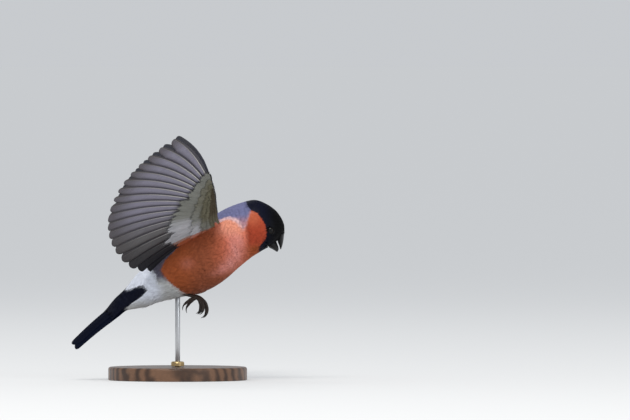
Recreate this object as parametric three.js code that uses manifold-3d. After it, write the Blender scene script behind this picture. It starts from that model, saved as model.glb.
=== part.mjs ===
// A male bullfinch hovering with its wings raised, life size, on a display stand.
// Millimetres. +Z is up, +X is the way the bird faces, and its right side looks along -Y.
// The origin is the middle of the stand's underside, where it meets the floor.
import * as THREE from 'three';
import Module from 'manifold-3d';

const wasm = await Module();
wasm.setup();

// Driving dimensions
const clearance = 0.3;
const degree = Math.PI / 180;

// Sections across the body from tail to bill: back and under are points (x, z) of its outline.
const bodySections = [
  { place: 'tail root', back: [-31.2, 55.7], under: [-22.0, 43.9], halfWidth: 8.5 },
  { place: 'vent', back: [-23.5, 65.0], under: [-11.5, 47.7], halfWidth: 12.0 },
  { place: 'thighs', back: [-12.5, 74.5], under: [3.0, 51.0], halfWidth: 15.5 },
  { place: 'belly', back: [-1.5, 83.5], under: [16.6, 53.9], halfWidth: 17.2 },
  { place: 'breast', back: [9.5, 91.5], under: [27.5, 60.0], halfWidth: 17.5 },
  { place: 'shoulders', back: [20.5, 98.5], under: [36.5, 67.8], halfWidth: 16.6 },
  { place: 'neck root', back: [29.5, 103.8], under: [43.8, 73.8], halfWidth: 14.6 },
  { place: 'neck', back: [39.0, 107.4], under: [49.5, 77.5], halfWidth: 12.6 },
  { place: 'cheeks', back: [46.8, 108.9], under: [53.0, 79.5], halfWidth: 12.0 },
  { place: 'crown', back: [53.5, 106.6], under: [54.8, 80.3], halfWidth: 11.0 },
  { place: 'eyes', back: [59.0, 102.8], under: [55.4, 80.6], halfWidth: 9.9 },
  { place: 'forehead', back: [62.5, 98.3], under: [55.9, 80.8], halfWidth: 8.5 },
  { place: 'mask', back: [64.3, 94.0], under: [56.05, 80.9], halfWidth: 6.8 },
  { place: 'bill root', back: [64.6, 89.8], under: [56.1, 80.9], halfWidth: 5.2 },
];
const bodySides = 28;
const trunkEnd = 6.0;
const neckEnd = 7.45;
const headEnd = bodySections.length - 1;
const stepsPerSection = 2.4;

// The bill is a little open, so its two halves have sections of their own.
const upperBillSections = [
  { back: [64.6, 89.2], under: [60.4, 84.9], halfWidth: 4.3 },
  { back: [64.4, 86.6], under: [61.0, 83.4], halfWidth: 3.8 },
  { back: [64.0, 84.0], under: [61.6, 82.0], halfWidth: 2.8 },
  { back: [63.4, 81.5], under: [62.0, 80.6], halfWidth: 1.5 },
  { back: [62.6, 79.2], under: [62.1, 79.1], halfWidth: 0.35 },
];
const lowerBillSections = [
  { back: [59.5, 84.1], under: [56.5, 80.9], halfWidth: 4.1 },
  { back: [60.0, 82.3], under: [57.4, 79.8], halfWidth: 3.7 },
  { back: [60.6, 80.6], under: [58.6, 78.6], halfWidth: 2.6 },
  { back: [60.9, 79.1], under: [59.6, 77.9], halfWidth: 1.4 },
  { back: [60.6, 77.9], under: [60.2, 77.6], halfWidth: 0.35 },
];
const billSides = 14;
const billSteps = 8;

const eye = { x: 56.2, z: 90.6, outward: 7.9, radius: 2.75, levels: 8, sides: 12 };

// Each wing lies in a plane through its shoulder, with the chord running back along the body.
const shoulder = { x: 24.4, y: 13.0, z: 95.6 };
const wingPitch = 34 * degree;
const wingRaise = 32.3 * degree;
const wing = {
  armEdge: [[-3, -1], [5, -2.2], [11, -3.7], [17, -5.2], [24, -6.9], [32, -8.5]],
  featherBow: 3.4,
  tipCentre: [30, 0],
  tipReach: [81.0, 59.8],
  tipFullness: 0.9,
  innerAngle: 115 * degree,
  outerAngle: -9 * degree,
  feathers: 18,
  stepsPerFeather: 4,
  innerNotch: 1.4,
  outerNotch: 4.5,
  tertialDrop: 7,
  featherThickness: 0.6,
  armThickness: 4.6,
  handThickness: 2.2,
  camber: 0.05,
  tipDroop: 3.0,
  wrist: [17, -5.2],
  wristCutAngle: 40 * degree,
};
const wingDepths = [0, 0.05, 0.16, 0.34, 0.62, 1];

// The tail is closed, and rolled so that its upper face turns to the bird's right.
const tail = {
  tip: [-63.6, 20.3],
  roll: 25 * degree,
  halfWidthRoot: 8.4,
  halfWidthMiddle: 9.6,
  halfWidthTip: 7.4,
  rise: 1.3,
  coverLength: 0.42,
  bladeThickness: 1.0,
  notch: 3.6,
  cornerRound: 3.0,
  columns: 16,
};
const tailDepths = [0, 0.08, 0.16, 0.26, 0.4, 0.55, 0.7, 0.85, 1];

// The legs are drawn up: the tarsi lie along the belly and the toes hang clenched.
// Headings and curls are in degrees, and farTurn is added to the headings of the left foot.
const leg = {
  ankle: { x: -4.8, y: 6.4, z: 52.4 },
  footJoint: { x: 11.6, y: 6.0, z: 50.3 },
  radius: 0.95,
  knobRadius: 1.15,
};
const tarsusShare = 0.88;
const legSides = 8;
const toes = [
  { name: 'middle', heading: -12, curl: -88, length: 12.4, splay: 2, claw: 4.4, farTurn: -6 },
  { name: 'inner', heading: -40, curl: -62, length: 9.0, splay: -22, claw: 3.8, farTurn: -6 },
  { name: 'outer', heading: -26, curl: -76, length: 10.0, splay: 19, claw: 3.8, farTurn: -8 },
  { name: 'hind', heading: 197, curl: 26, length: 8.4, splay: 6, claw: 4.2, farTurn: 15 },
];
const toeRadius = 0.88;
const clawRadius = 0.52;
const clawTipRadius = 0.26;
const clawCurl = 58;
const toeSteps = 7;
const toeSides = 6;

const stand = {
  baseRadius: 42,
  baseHeight: 8,
  baseRound: 1.4,
  rodRadius: 1.5,
  rodFoot: 2.3,
  rodTop: 62,
  socketFloor: 2,
  collarRadius: 4,
  collarHeight: 3,
  baseSides: 32,
  collarSides: 16,
};

// Materials
function finish(color, roughness, metalness = 0) {
  return new THREE.MeshStandardMaterial({ color, roughness, metalness });
}
const capBlack = finish(0x14151c, 0.5);
const rosePlumage = finish(0xc9613f, 0.9);
const wingPlumage = finish(0x5c5b68, 0.8);
const tailBlack = finish(0x12131d, 0.45);
const hornBlack = finish(0x17171a, 0.4);
const eyeBlack = finish(0x0b0909, 0.08);
const legBrown = finish(0x3a2a24, 0.7);
const walnut = finish(0x5b4030, 0.5);
const steel = finish(0xb8bbc0, 0.35, 1);
const brass = finish(0xb08d57, 0.35, 1);

const part = new THREE.Group();

function addPiece(name, geometry, material) {
  const mesh = new THREE.Mesh(geometry, material);
  mesh.name = name;
  part.add(mesh);
}

// Six times the signed volume tells whether the faces point outwards.
function facesOut(positions, triangles) {
  let volume = 0;
  for (const [a, b, c] of triangles) {
    const cross = new THREE.Vector3().crossVectors(positions[b], positions[c]);
    volume += positions[a].dot(cross);
  }
  return volume > 0;
}

// A closed body through rings of equal count; its two ends are filled straight across.
function bodyThroughRings(rings) {
  const count = rings[0].length;
  const positions = rings.flat();
  const triangles = [];
  const quad = (a, b, c, d) => triangles.push([a, b, c], [a, c, d]);
  for (let i = 0; i < rings.length - 1; i++) {
    for (let j = 0; j < count; j++) {
      const next = (j + 1) % count;
      quad(i * count + j, i * count + next, (i + 1) * count + next, (i + 1) * count + j);
    }
  }
  const last = (rings.length - 1) * count;
  for (let j = 0; j < count / 2 - 1; j++) {
    const across = count - 1 - j;
    quad(j, across, across - 1, j + 1);
    quad(last + j, last + j + 1, last + across - 1, last + across);
  }
  if (!facesOut(positions, triangles)) {
    triangles.forEach((triangle) => triangle.reverse());
  }
  const geometry = new THREE.BufferGeometry();
  geometry.setAttribute('position', new THREE.Float32BufferAttribute(
    positions.flatMap((p) => p.toArray()), 3));
  geometry.setIndex(triangles.flat());
  return geometry;
}

function toSolid(geometry) {
  return new wasm.Manifold(new wasm.Mesh({
    numProp: 3,
    vertProperties: new Float32Array(geometry.attributes.position.array),
    triVerts: new Uint32Array(geometry.index.array),
  }));
}

function toGeometry(solid) {
  const mesh = solid.getMesh();
  const geometry = new THREE.BufferGeometry();
  geometry.setAttribute('position', new THREE.BufferAttribute(mesh.vertProperties, mesh.numProp));
  geometry.setIndex(new THREE.BufferAttribute(mesh.triVerts, 1));
  return geometry;
}

// The largest body left after a cut, so that no loose chip stays.
function mainBody(solid) {
  const bodies = solid.decompose();
  return bodies.reduce((best, body) => (body.volume() > best.volume() ? body : best));
}

// A smooth curve in the body's middle plane, through points (x, z).
function planeCurve(points) {
  const places = points.map(([x, z]) => new THREE.Vector3(x, 0, z));
  return new THREE.CatmullRomCurve3(places, false, 'catmullrom', 0.5);
}

function sectionCurves(sections) {
  return {
    count: sections.length - 1,
    back: planeCurve(sections.map((s) => s.back)),
    under: planeCurve(sections.map((s) => s.under)),
    width: planeCurve(sections.map((s) => [s.halfWidth, 0])),
  };
}

// One ring: an oval between the back point and the under point, grown outwards if asked.
function ovalRing(curves, place, sides, grow) {
  const t = place / curves.count;
  const back = curves.back.getPoint(t);
  const under = curves.under.getPoint(t);
  const centre = back.clone().add(under).multiplyScalar(0.5);
  const up = back.clone().sub(under);
  const halfHeight = up.length() / 2 + grow;
  const halfWidth = curves.width.getPoint(t).x + grow;
  up.normalize();
  const ring = [];
  for (let j = 0; j < sides; j++) {
    const angle = (j + 0.5) / sides * 2 * Math.PI;
    const point = centre.clone().addScaledVector(up, halfHeight * Math.cos(angle));
    point.y -= halfWidth * Math.sin(angle);
    ring.push(point);
  }
  return ring;
}

function lengthOfBody(sections, from, to, sides, steps, grow = 0) {
  const curves = sectionCurves(sections);
  const rings = [];
  for (let i = 0; i <= steps; i++) {
    rings.push(ovalRing(curves, from + (to - from) * i / steps, sides, grow));
  }
  return bodyThroughRings(rings);
}

function bodyPart(from, to, grow = 0) {
  const steps = Math.round((to - from) * stepsPerSection);
  return lengthOfBody(bodySections, from, to, bodySides, steps, grow);
}

function bodySolid(from, to, grow = 0) {
  return toSolid(bodyPart(from, to, grow));
}

// Half of the thin cut between two lengths of the body, as a share of a section's spacing.
const cutShare = clearance / 2 / 9;

// A round tapered rod along a curve
function taperedRod(curve, radiusAt, steps, sides) {
  const frames = curve.computeFrenetFrames(steps, false);
  const rings = [];
  for (let i = 0; i <= steps; i++) {
    const centre = curve.getPointAt(i / steps);
    const radius = radiusAt(i / steps);
    const ring = [];
    for (let j = 0; j < sides; j++) {
      const angle = j / sides * 2 * Math.PI;
      ring.push(centre.clone()
        .addScaledVector(frames.normals[i], radius * Math.cos(angle))
        .addScaledVector(frames.binormals[i], radius * Math.sin(angle)));
    }
    rings.push(ring);
  }
  return bodyThroughRings(rings);
}

// An upright turned solid whose profile (radius, height) starts and ends on the axis or closes.
function turned(profile, sides) {
  const points = profile.map(([radius, height]) => new THREE.Vector2(radius, height));
  const geometry = new THREE.LatheGeometry(points, sides);
  geometry.rotateX(Math.PI / 2);
  return geometry;
}

function uprightCylinder(radius, bottom, top, sides) {
  const rings = [bottom, top].map((z) => {
    const ring = [];
    for (let j = 0; j < sides; j++) {
      const angle = j / sides * 2 * Math.PI;
      ring.push(new THREE.Vector3(radius * Math.cos(angle), radius * Math.sin(angle), z));
    }
    return ring;
  });
  return bodyThroughRings(rings);
}

// Head, neck and trunk
const sideNames = { right: -1, left: 1 };

function eyeBall(side, grow = 0) {
  const rings = [];
  const radius = eye.radius + grow;
  for (let i = 0; i <= eye.levels; i++) {
    const polar = (0.05 + 0.9 * i / eye.levels) * Math.PI;
    const ring = [];
    for (let j = 0; j < eye.sides; j++) {
      const angle = j / eye.sides * 2 * Math.PI;
      ring.push(new THREE.Vector3(
        eye.x + radius * Math.sin(polar) * Math.cos(angle),
        side * (eye.outward + radius * Math.cos(polar)),
        eye.z + radius * Math.sin(polar) * Math.sin(angle)));
    }
    rings.push(ring);
  }
  return bodyThroughRings(rings);
}

function addHead() {
  let head = bodySolid(neckEnd + cutShare, headEnd);
  for (const [name, side] of Object.entries(sideNames)) {
    head = head.subtract(toSolid(eyeBall(side, clearance)));
    addPiece(`eye_${name}`, eyeBall(side), eyeBlack);
  }
  addPiece('head', toGeometry(mainBody(head)), capBlack);
  addPiece('neck', bodyPart(trunkEnd + cutShare, neckEnd - cutShare), rosePlumage);
  addPiece('bill_upper', lengthOfBody(upperBillSections, 0, 4, billSides, billSteps), hornBlack);
  addPiece('bill_lower', lengthOfBody(lowerBillSections, 0, 4, billSides, billSteps), hornBlack);
}

// Legs
function tarsusPath(side) {
  const from = new THREE.Vector3(leg.ankle.x, side * leg.ankle.y, leg.ankle.z);
  const to = new THREE.Vector3(leg.footJoint.x, side * leg.footJoint.y, leg.footJoint.z);
  return new THREE.LineCurve3(from, to);
}

// A toe bends evenly along its length, and its claw bends more. Headings turn from +X to +Z.
function toePath(toe, side) {
  const stepLength = 0.5;
  const place = new THREE.Vector3(leg.footJoint.x, side * leg.footJoint.y, leg.footJoint.z);
  const points = [place.clone()];
  const total = toe.length + toe.claw;
  const bend = Math.sign(toe.curl);
  const start = toe.heading + (side > 0 ? toe.farTurn : 0);
  for (let along = stepLength / 2; along < total; along += stepLength) {
    const onToe = Math.min(along, toe.length) / toe.length;
    const onClaw = Math.max(along - toe.length, 0) / toe.claw;
    const heading = (start + toe.curl * onToe + bend * clawCurl * onClaw) * degree;
    const sideways = side * Math.sin(toe.splay * degree);
    place.x += stepLength * Math.cos(heading);
    place.y += stepLength * sideways;
    place.z += stepLength * Math.sin(heading);
    points.push(place.clone());
  }
  return new THREE.CatmullRomCurve3(points);
}

// The toes grow from a knob at the end of the tarsus.
function footSolid(side) {
  const path = tarsusPath(side);
  const knobPath = new THREE.LineCurve3(path.getPointAt(tarsusShare + 0.02), path.v2);
  let foot = toSolid(taperedRod(knobPath, () => leg.knobRadius, 1, legSides));
  for (const toe of toes) {
    const clawStart = toe.length / (toe.length + toe.claw);
    const radiusAt = (u) => (u < clawStart
      ? THREE.MathUtils.lerp(toeRadius, clawRadius, u / clawStart)
      : THREE.MathUtils.lerp(clawRadius, clawTipRadius, (u - clawStart) / (1 - clawStart)));
    foot = foot.add(toSolid(taperedRod(toePath(toe, side), radiusAt, toeSteps, toeSides)));
  }
  return foot;
}

function addLegs(trunk) {
  let body = trunk;
  for (const [name, side] of Object.entries(sideNames)) {
    const path = tarsusPath(side);
    const tarsusLine = new THREE.LineCurve3(path.v1, path.getPointAt(tarsusShare));
    const room = toSolid(taperedRod(
      new THREE.LineCurve3(path.getPointAt(-0.02), path.getPointAt(tarsusShare + 0.02)),
      () => leg.radius + clearance, 1, legSides));
    const foot = footSolid(side).subtract(room);
    body = body.subtract(room);
    addPiece(`leg_${name}`, taperedRod(tarsusLine, () => leg.radius, 2, legSides), legBrown);
    addPiece(`foot_${name}`, toGeometry(mainBody(foot)), legBrown);
  }
  return body;
}

// Wings: the plane's own directions for one side
function wingDirections(side) {
  const back = new THREE.Vector3(-Math.cos(wingPitch), 0, -Math.sin(wingPitch));
  const above = new THREE.Vector3(-Math.sin(wingPitch), 0, Math.cos(wingPitch));
  const across = new THREE.Vector3(0, side, 0);
  const out = across.clone().multiplyScalar(Math.cos(wingRaise))
    .addScaledVector(above, Math.sin(wingRaise));
  const up = above.clone().multiplyScalar(Math.cos(wingRaise))
    .addScaledVector(across, -Math.sin(wingRaise));
  return { back, out, up };
}

// From the shoulder: out along the wing, back along its chord, up off its plane.
function onWing(side, out, back, up) {
  const directions = wingDirections(side);
  return new THREE.Vector3(shoulder.x, side * shoulder.y, shoulder.z)
    .addScaledVector(directions.out, out)
    .addScaledVector(directions.back, back)
    .addScaledVector(directions.up, up);
}

// Where the feathers' lines start: the front edge of the arm and hand, from the body outwards
const armEdgeCurve = new THREE.SplineCurve(
  wing.armEdge.map(([out, back]) => new THREE.Vector2(out, back)));

// The feather tips lie on a full oval, notched between feathers; the innermost are shorter.
function featherTip(share) {
  const angle = THREE.MathUtils.lerp(wing.innerAngle, wing.outerAngle, share);
  const alongFeather = (share * wing.feathers) % 1;
  const notch = THREE.MathUtils.lerp(wing.innerNotch, wing.outerNotch, share ** 2)
    * Math.abs(2 * alongFeather - 1) ** 2.5;
  const inner = Math.max(0, 1 - share * wing.feathers / 3.2);
  const reach = 1 - (notch + inner ** 1.5 * wing.tertialDrop) / wing.tipReach[1];
  const fuller = (value) => Math.sign(value) * Math.abs(value) ** wing.tipFullness;
  return new THREE.Vector2(
    wing.tipCentre[0] + wing.tipReach[0] * reach * fuller(Math.cos(angle)),
    wing.tipCentre[1] + wing.tipReach[1] * reach * fuller(Math.sin(angle)));
}

// One ring goes back over the top of the wing along a feather and returns underneath.
// The outer feathers bow towards the wing tip.
function wingRing(side, share) {
  const start = armEdgeCurve.getPoint(share);
  const end = featherTip(share);
  const length = start.distanceTo(end);
  const ahead = end.clone().sub(start).normalize();
  const outwards = new THREE.Vector2(ahead.y, -ahead.x);
  const bow = wing.featherBow * THREE.MathUtils.smoothstep(share, 0.3, 1);
  const bulk = THREE.MathUtils.lerp(wing.armThickness, wing.handThickness, share);
  const face = (depth, upward) => {
    const place = start.clone().lerp(end, depth)
      .addScaledVector(outwards, bow * 4 * depth * (1 - depth));
    const thickness = wing.featherThickness
      + bulk * 3.5 * Math.sqrt(depth) * (1 - depth) ** 2;
    const arch = wing.camber * length * 4 * depth * (1 - depth);
    const droop = wing.tipDroop * (place.x / 110) ** 2;
    return onWing(side, place.x, place.y, arch - droop + upward * thickness / 2);
  };
  return [
    ...wingDepths.map((depth) => face(depth, 1)),
    ...wingDepths.toReversed().map((depth) => face(depth, -1)),
  ];
}

function wholeWing(side) {
  const steps = wing.feathers * wing.stepsPerFeather;
  const rings = [];
  for (let i = 0; i <= steps; i++) {
    rings.push(wingRing(side, i / steps));
  }
  return toSolid(bodyThroughRings(rings));
}

// A tall slab on one side of the cut through the wrist: towards is -1 inwards, +1 outwards.
function wristSlab(side, towards) {
  const [out, back] = wing.wrist;
  const along = [Math.cos(wing.wristCutAngle), Math.sin(wing.wristCutAngle)];
  const away = [along[1], -along[0]];
  const reach = 150;
  const corner = (a, b, up) => onWing(
    side,
    out + along[0] * a + away[0] * b * towards,
    back + along[1] * a + away[1] * b * towards,
    up);
  const rings = [-40, 40].map((up) => [
    corner(-reach, clearance / 2, up),
    corner(reach, clearance / 2, up),
    corner(reach, reach, up),
    corner(-reach, reach, up),
  ]);
  return toSolid(bodyThroughRings(rings));
}

function addWings() {
  const bodyAround = bodySolid(0, neckEnd, clearance);
  for (const [name, side] of Object.entries(sideNames)) {
    const whole = mainBody(wholeWing(side).subtract(bodyAround));
    const arm = mainBody(whole.intersect(wristSlab(side, -1)));
    const hand = mainBody(whole.intersect(wristSlab(side, 1)));
    addPiece(`wing_${name}_arm`, toGeometry(arm), wingPlumage);
    addPiece(`wing_${name}_hand`, toGeometry(hand), wingPlumage);
  }
}

// Tail: columns from the root to the feather tips, laid side by side across its width.
function tailFrame() {
  const [first] = bodySections;
  const root = new THREE.Vector3(
    (first.back[0] + first.under[0]) / 2, 0, (first.back[1] + first.under[1]) / 2);
  const rootUp = new THREE.Vector3(
    first.back[0] - first.under[0], 0, first.back[1] - first.under[1]);
  const rootHalfHeight = rootUp.length() / 2;
  rootUp.normalize();
  const rootBack = new THREE.Vector3(-rootUp.z, 0, rootUp.x);
  root.addScaledVector(rootBack, clearance);
  const tip = new THREE.Vector3(tail.tip[0], 0, tail.tip[1]);
  const along = tip.clone().sub(root);
  const length = along.length();
  along.normalize();
  const up = new THREE.Vector3(along.z, 0, -along.x);
  return { root, rootUp, rootHalfHeight, along, up, length };
}

function tailRing(frame, across) {
  const point = (depth, upward) => {
    const roll = tail.roll * THREE.MathUtils.smoothstep(depth, 0, 0.35);
    const settled = THREE.MathUtils.smoothstep(depth, 0, 0.2);
    const straightUp = frame.rootUp.clone().lerp(frame.up, settled).normalize();
    const right = new THREE.Vector3(0, -1, 0);
    const up = straightUp.clone().multiplyScalar(Math.cos(roll))
      .addScaledVector(right, Math.sin(roll));
    const lateral = right.clone().multiplyScalar(Math.cos(roll))
      .addScaledVector(straightUp, -Math.sin(roll));
    const halfWidth = depth < 0.4
      ? THREE.MathUtils.lerp(tail.halfWidthRoot, tail.halfWidthMiddle, depth / 0.4)
      : THREE.MathUtils.lerp(tail.halfWidthMiddle, tail.halfWidthTip, (depth - 0.4) / 0.6);
    const roundness = Math.sqrt(Math.max(0, 1 - across * across));
    const cover = Math.max(0, 1 - depth / tail.coverLength) ** 1.3 * frame.rootHalfHeight;
    const halfThickness = tail.bladeThickness / 2 * (0.6 + 0.4 * roundness) + cover * roundness;
    const shortened = tail.notch * (1 - Math.abs(across)) ** 2
      + tail.cornerRound * Math.max(0, Math.abs(across) - 0.6) ** 2 / 0.16;
    const reach = depth * (frame.length - shortened * depth ** 4);
    const rise = tail.rise * Math.sin(Math.PI * depth);
    return frame.root.clone()
      .addScaledVector(frame.along, reach)
      .addScaledVector(lateral, halfWidth * across)
      .addScaledVector(up, rise + upward * halfThickness);
  };
  return [
    ...tailDepths.map((depth) => point(depth, 1)),
    ...tailDepths.toReversed().map((depth) => point(depth, -1)),
  ];
}

function addTail() {
  const frame = tailFrame();
  const rings = [];
  for (let i = 0; i <= tail.columns; i++) {
    rings.push(tailRing(frame, 2 * i / tail.columns - 1));
  }
  addPiece('tail', bodyThroughRings(rings), tailBlack);
}

// Stand
function addStand() {
  const { baseRadius, baseHeight, baseRound, rodRadius } = stand;
  const socket = rodRadius + clearance;
  addPiece('stand_base', turned([
    [0, 0],
    [baseRadius - baseRound, 0],
    [baseRadius, baseRound],
    [baseRadius, baseHeight - baseRound],
    [baseRadius - baseRound, baseHeight],
    [socket, baseHeight],
    [socket, stand.socketFloor],
    [0, stand.socketFloor],
  ], stand.baseSides), walnut);
  const collarFoot = baseHeight + clearance;
  addPiece('stand_collar', turned([
    [socket, collarFoot],
    [stand.collarRadius, collarFoot],
    [stand.collarRadius, collarFoot + stand.collarHeight * 0.6],
    [stand.collarRadius - 1, collarFoot + stand.collarHeight],
    [socket, collarFoot + stand.collarHeight],
    [socket, collarFoot],
  ], stand.collarSides), brass);
  addPiece('stand_rod', uprightCylinder(rodRadius, stand.rodFoot, stand.rodTop, 16), steel);
}

function addTrunk() {
  const rodHole = toSolid(uprightCylinder(
    stand.rodRadius + clearance, 20, stand.rodTop + clearance, 16));
  const trunk = addLegs(bodySolid(0, trunkEnd - cutShare)).subtract(rodHole);
  addPiece('trunk', toGeometry(mainBody(trunk)), rosePlumage);
}

addHead();
addTrunk();
addWings();
addTail();
addStand();

export default part;
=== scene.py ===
import math

import bpy
import numpy as np
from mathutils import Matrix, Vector


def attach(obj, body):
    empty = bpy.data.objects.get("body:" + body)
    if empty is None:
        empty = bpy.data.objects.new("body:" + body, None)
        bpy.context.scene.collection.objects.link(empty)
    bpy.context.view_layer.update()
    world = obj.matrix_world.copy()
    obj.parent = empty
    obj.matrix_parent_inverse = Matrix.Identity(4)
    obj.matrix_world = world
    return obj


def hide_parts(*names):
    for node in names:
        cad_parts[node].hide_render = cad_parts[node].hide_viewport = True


# A male bullfinch hovering with raised wings, held over a round wooden base by a steel rod.
# Shapes are worked out in millimetres and put into the meshes in metres.
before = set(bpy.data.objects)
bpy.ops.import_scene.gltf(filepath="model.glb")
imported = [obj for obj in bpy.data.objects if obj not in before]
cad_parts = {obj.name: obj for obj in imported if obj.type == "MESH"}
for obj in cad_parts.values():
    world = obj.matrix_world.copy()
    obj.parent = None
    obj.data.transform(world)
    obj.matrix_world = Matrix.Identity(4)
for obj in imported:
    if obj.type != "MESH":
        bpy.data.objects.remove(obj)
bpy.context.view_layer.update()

mm = 0.001
chance = np.random.default_rng(41)
print("frame loaded:", len(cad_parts), "nodes")


# Small shape helpers

def mix(low, high, share):
    return low + (high - low) * share


# 0 below low, 1 above high, and an S-shaped rise between them
def ease(low, high, value):
    share = np.clip((np.asarray(value, float) - low) / (high - low), 0, 1)
    return share * share * (3 - 2 * share)


def unit(vectors):
    return vectors / np.linalg.norm(vectors, axis=-1, keepdims=True)


# Smooth curve through evenly numbered points: a cubic between each two, whose slope at a point is half the
# step between its neighbours. The ends run on straight, or stop where held is true.
def throughPoints(points, place, held=False):
    points = np.asarray(points, float)
    before, after = 2 * points[0] - points[1], 2 * points[-1] - points[-2]
    if held:
        before, after = points[0], points[-1]
    padded = np.concatenate([[before], points, [after]])
    place = np.asarray(place, float)
    step = np.clip(place.astype(int), 0, len(points) - 2)
    share = (place - step)[..., None]
    p0, p1, p2, p3 = padded[step], padded[step + 1], padded[step + 2], padded[step + 3]
    return p1 + 0.5 * share * (
        p2 - p0 + share * (2 * p0 - 5 * p1 + 4 * p2 - p3 + share * (3 * (p1 - p2) + p3 - p0))
    )


# Turns the triangles of a closed shape round if its volume comes out negative
def facingOut(points, triangles):
    corner = points[triangles]
    volume = (corner[:, 0] * np.cross(corner[:, 1], corner[:, 2])).sum()
    return triangles if volume > 0 else triangles[:, ::-1]


# Triangles over a stack of rings, with a fan to the middle of the first and last ring, all facing outwards.
# Gives the points, the triangles, and each triangle's place in its ring.
def loft(rings):
    count, sides = rings.shape[:2]
    points = np.concatenate([rings.reshape(-1, 3), [rings[0].mean(0)], [rings[-1].mean(0)]])
    ring, side = np.meshgrid(np.arange(count - 1), np.arange(sides), indexing="ij")
    ring, side = ring.ravel(), side.ravel()
    here, beside = ring * sides + side, ring * sides + (side + 1) % sides
    edge = np.arange(sides)
    nextEdge = (edge + 1) % sides
    last = (count - 1) * sides
    triangles = np.concatenate([
        np.stack([here, beside, beside + sides], 1),
        np.stack([here, beside + sides, here + sides], 1),
        np.stack([np.full(sides, count * sides), nextEdge, edge], 1),
        np.stack([np.full(sides, count * sides + 1), last + edge, last + nextEdge], 1),
    ])
    return points, facingOut(points, triangles), np.concatenate([side, side, edge, edge])


# Triangles over rings whose last one joins the first
def closedLoft(rings):
    count, sides = rings.shape[:2]
    ring, side = np.meshgrid(np.arange(count), np.arange(sides), indexing="ij")
    nextRing, nextSide = (ring + 1) % count * sides, (side + 1) % sides
    a, b, c, d = ring * sides + side, ring * sides + nextSide, nextRing + nextSide, nextRing + side
    triangles = np.concatenate([
        np.stack([a, b, c], -1).reshape(-1, 3),
        np.stack([a, c, d], -1).reshape(-1, 3),
    ])
    points = rings.reshape(-1, 3)
    return points, facingOut(points, triangles)


# Round tube along a path. Its radius may change along it, and upHint keeps its sides from twisting.
# Ring point = path + radius * (side * sin(turn) + top * cos(turn))
def tube(path, radius, sides, upHint=(0, 0, 1), flat=1.0):
    path = np.asarray(path, float)
    along = unit(np.gradient(path, axis=0))
    side = unit(np.cross(along, np.asarray(upHint, float)))
    top = np.cross(side, along)
    turn = np.arange(sides) * 2 * math.pi / sides
    radius = np.broadcast_to(radius, len(path))[:, None, None]
    return path[:, None] + radius * (
        side[:, None] * np.sin(turn)[:, None] + flat * top[:, None] * np.cos(turn)[:, None]
    )


# Surface of revolution about the upright axis through the origin, from a profile of (radius, height) points
def turned(profile, sides):
    profile = np.asarray(profile, float)
    turn = np.arange(sides) * 2 * math.pi / sides
    radius, height = profile[:, :1], profile[:, 1:]
    return np.stack([radius * np.cos(turn), radius * np.sin(turn), height + 0 * turn], -1)


# Joins parts of points, triangles and per-point values into one set
def joined(parts):
    shift = np.cumsum([0] + [len(part[0]) for part in parts[:-1]])
    points = np.concatenate([part[0] for part in parts])
    triangles = np.concatenate([part[1] + move for part, move in zip(parts, shift)])
    extras = [np.concatenate([part[k] for part in parts]) for k in range(2, len(parts[0]))]
    return [points, triangles] + extras


# The arrays among the tuples of a settings dictionary, such as its tones
def arraysOf(settings):
    return {key: np.array(value) for key, value in settings.items() if isinstance(value, tuple)}


def addToScene(name, data):
    thing = bpy.data.objects.new(name, data)
    bpy.context.scene.collection.objects.link(thing)
    return thing


def aimAlong(thing, direction):
    thing.rotation_mode = "QUATERNION"
    thing.rotation_quaternion = direction.to_track_quat("-Z", "Y")


def paint(mesh, colours):
    layer = mesh.color_attributes.new("plume", "FLOAT_COLOR", "POINT")
    layer.data.foreach_set("color", np.c_[colours, np.ones(len(colours))].astype(np.float32).ravel())


# Puts points (mm) and triangles into a new object, with point colours and named UV maps (one place for
# each corner). Where lean is given, the shading normals lean towards it by softness, as loose barbs scatter
# light.
def makePiece(name, points, triangles, material, colours=None, maps=None, smooth=True, lean=None,
              softness=0.7):
    mesh = bpy.data.meshes.new(name)
    mesh.vertices.add(len(points))
    mesh.vertices.foreach_set("co", (points * mm).astype(np.float32).ravel())
    mesh.loops.add(3 * len(triangles))
    mesh.loops.foreach_set("vertex_index", triangles.astype(np.int32).ravel())
    mesh.polygons.add(len(triangles))
    mesh.polygons.foreach_set("loop_start", np.arange(0, 3 * len(triangles), 3, dtype=np.int32))
    mesh.polygons.foreach_set("use_smooth", np.full(len(triangles), smooth))
    mesh.update(calc_edges=True)
    for mapName, places in (maps or {}).items():
        layer = mesh.uv_layers.new(name=mapName)
        layer.uv.foreach_set("vector", places.astype(np.float32).reshape(-1, 2).ravel())
    if colours is not None:
        paint(mesh, colours)
    if lean is not None:
        own = np.empty(3 * len(points), np.float32)
        mesh.vertex_normals.foreach_get("vector", own)
        own = own.reshape(-1, 3)
        front = ((own * lean).sum(-1) > -0.2)[:, None]
        mesh.normals_split_custom_set_from_vertices(np.where(front, unit(mix(own, lean, softness)), own))
    mesh.materials.append(material)
    return addToScene(name, mesh)


def place(piece, slot, *nodes):
    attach(piece, "root")
    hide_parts(*nodes)
    return piece


# Camera at the photograph's angle: a long lens a little above the bird's height

cameraSettings = {
    "target": (83.1, 0.0, 102.9),  # middle of the frame
    "frameWidth": 381.15,  # how much of the bird's plane the frame takes in
    "distance": 8000.0,
    "elevation": 0.8,
    "sensor": 36.0,
}


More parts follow.
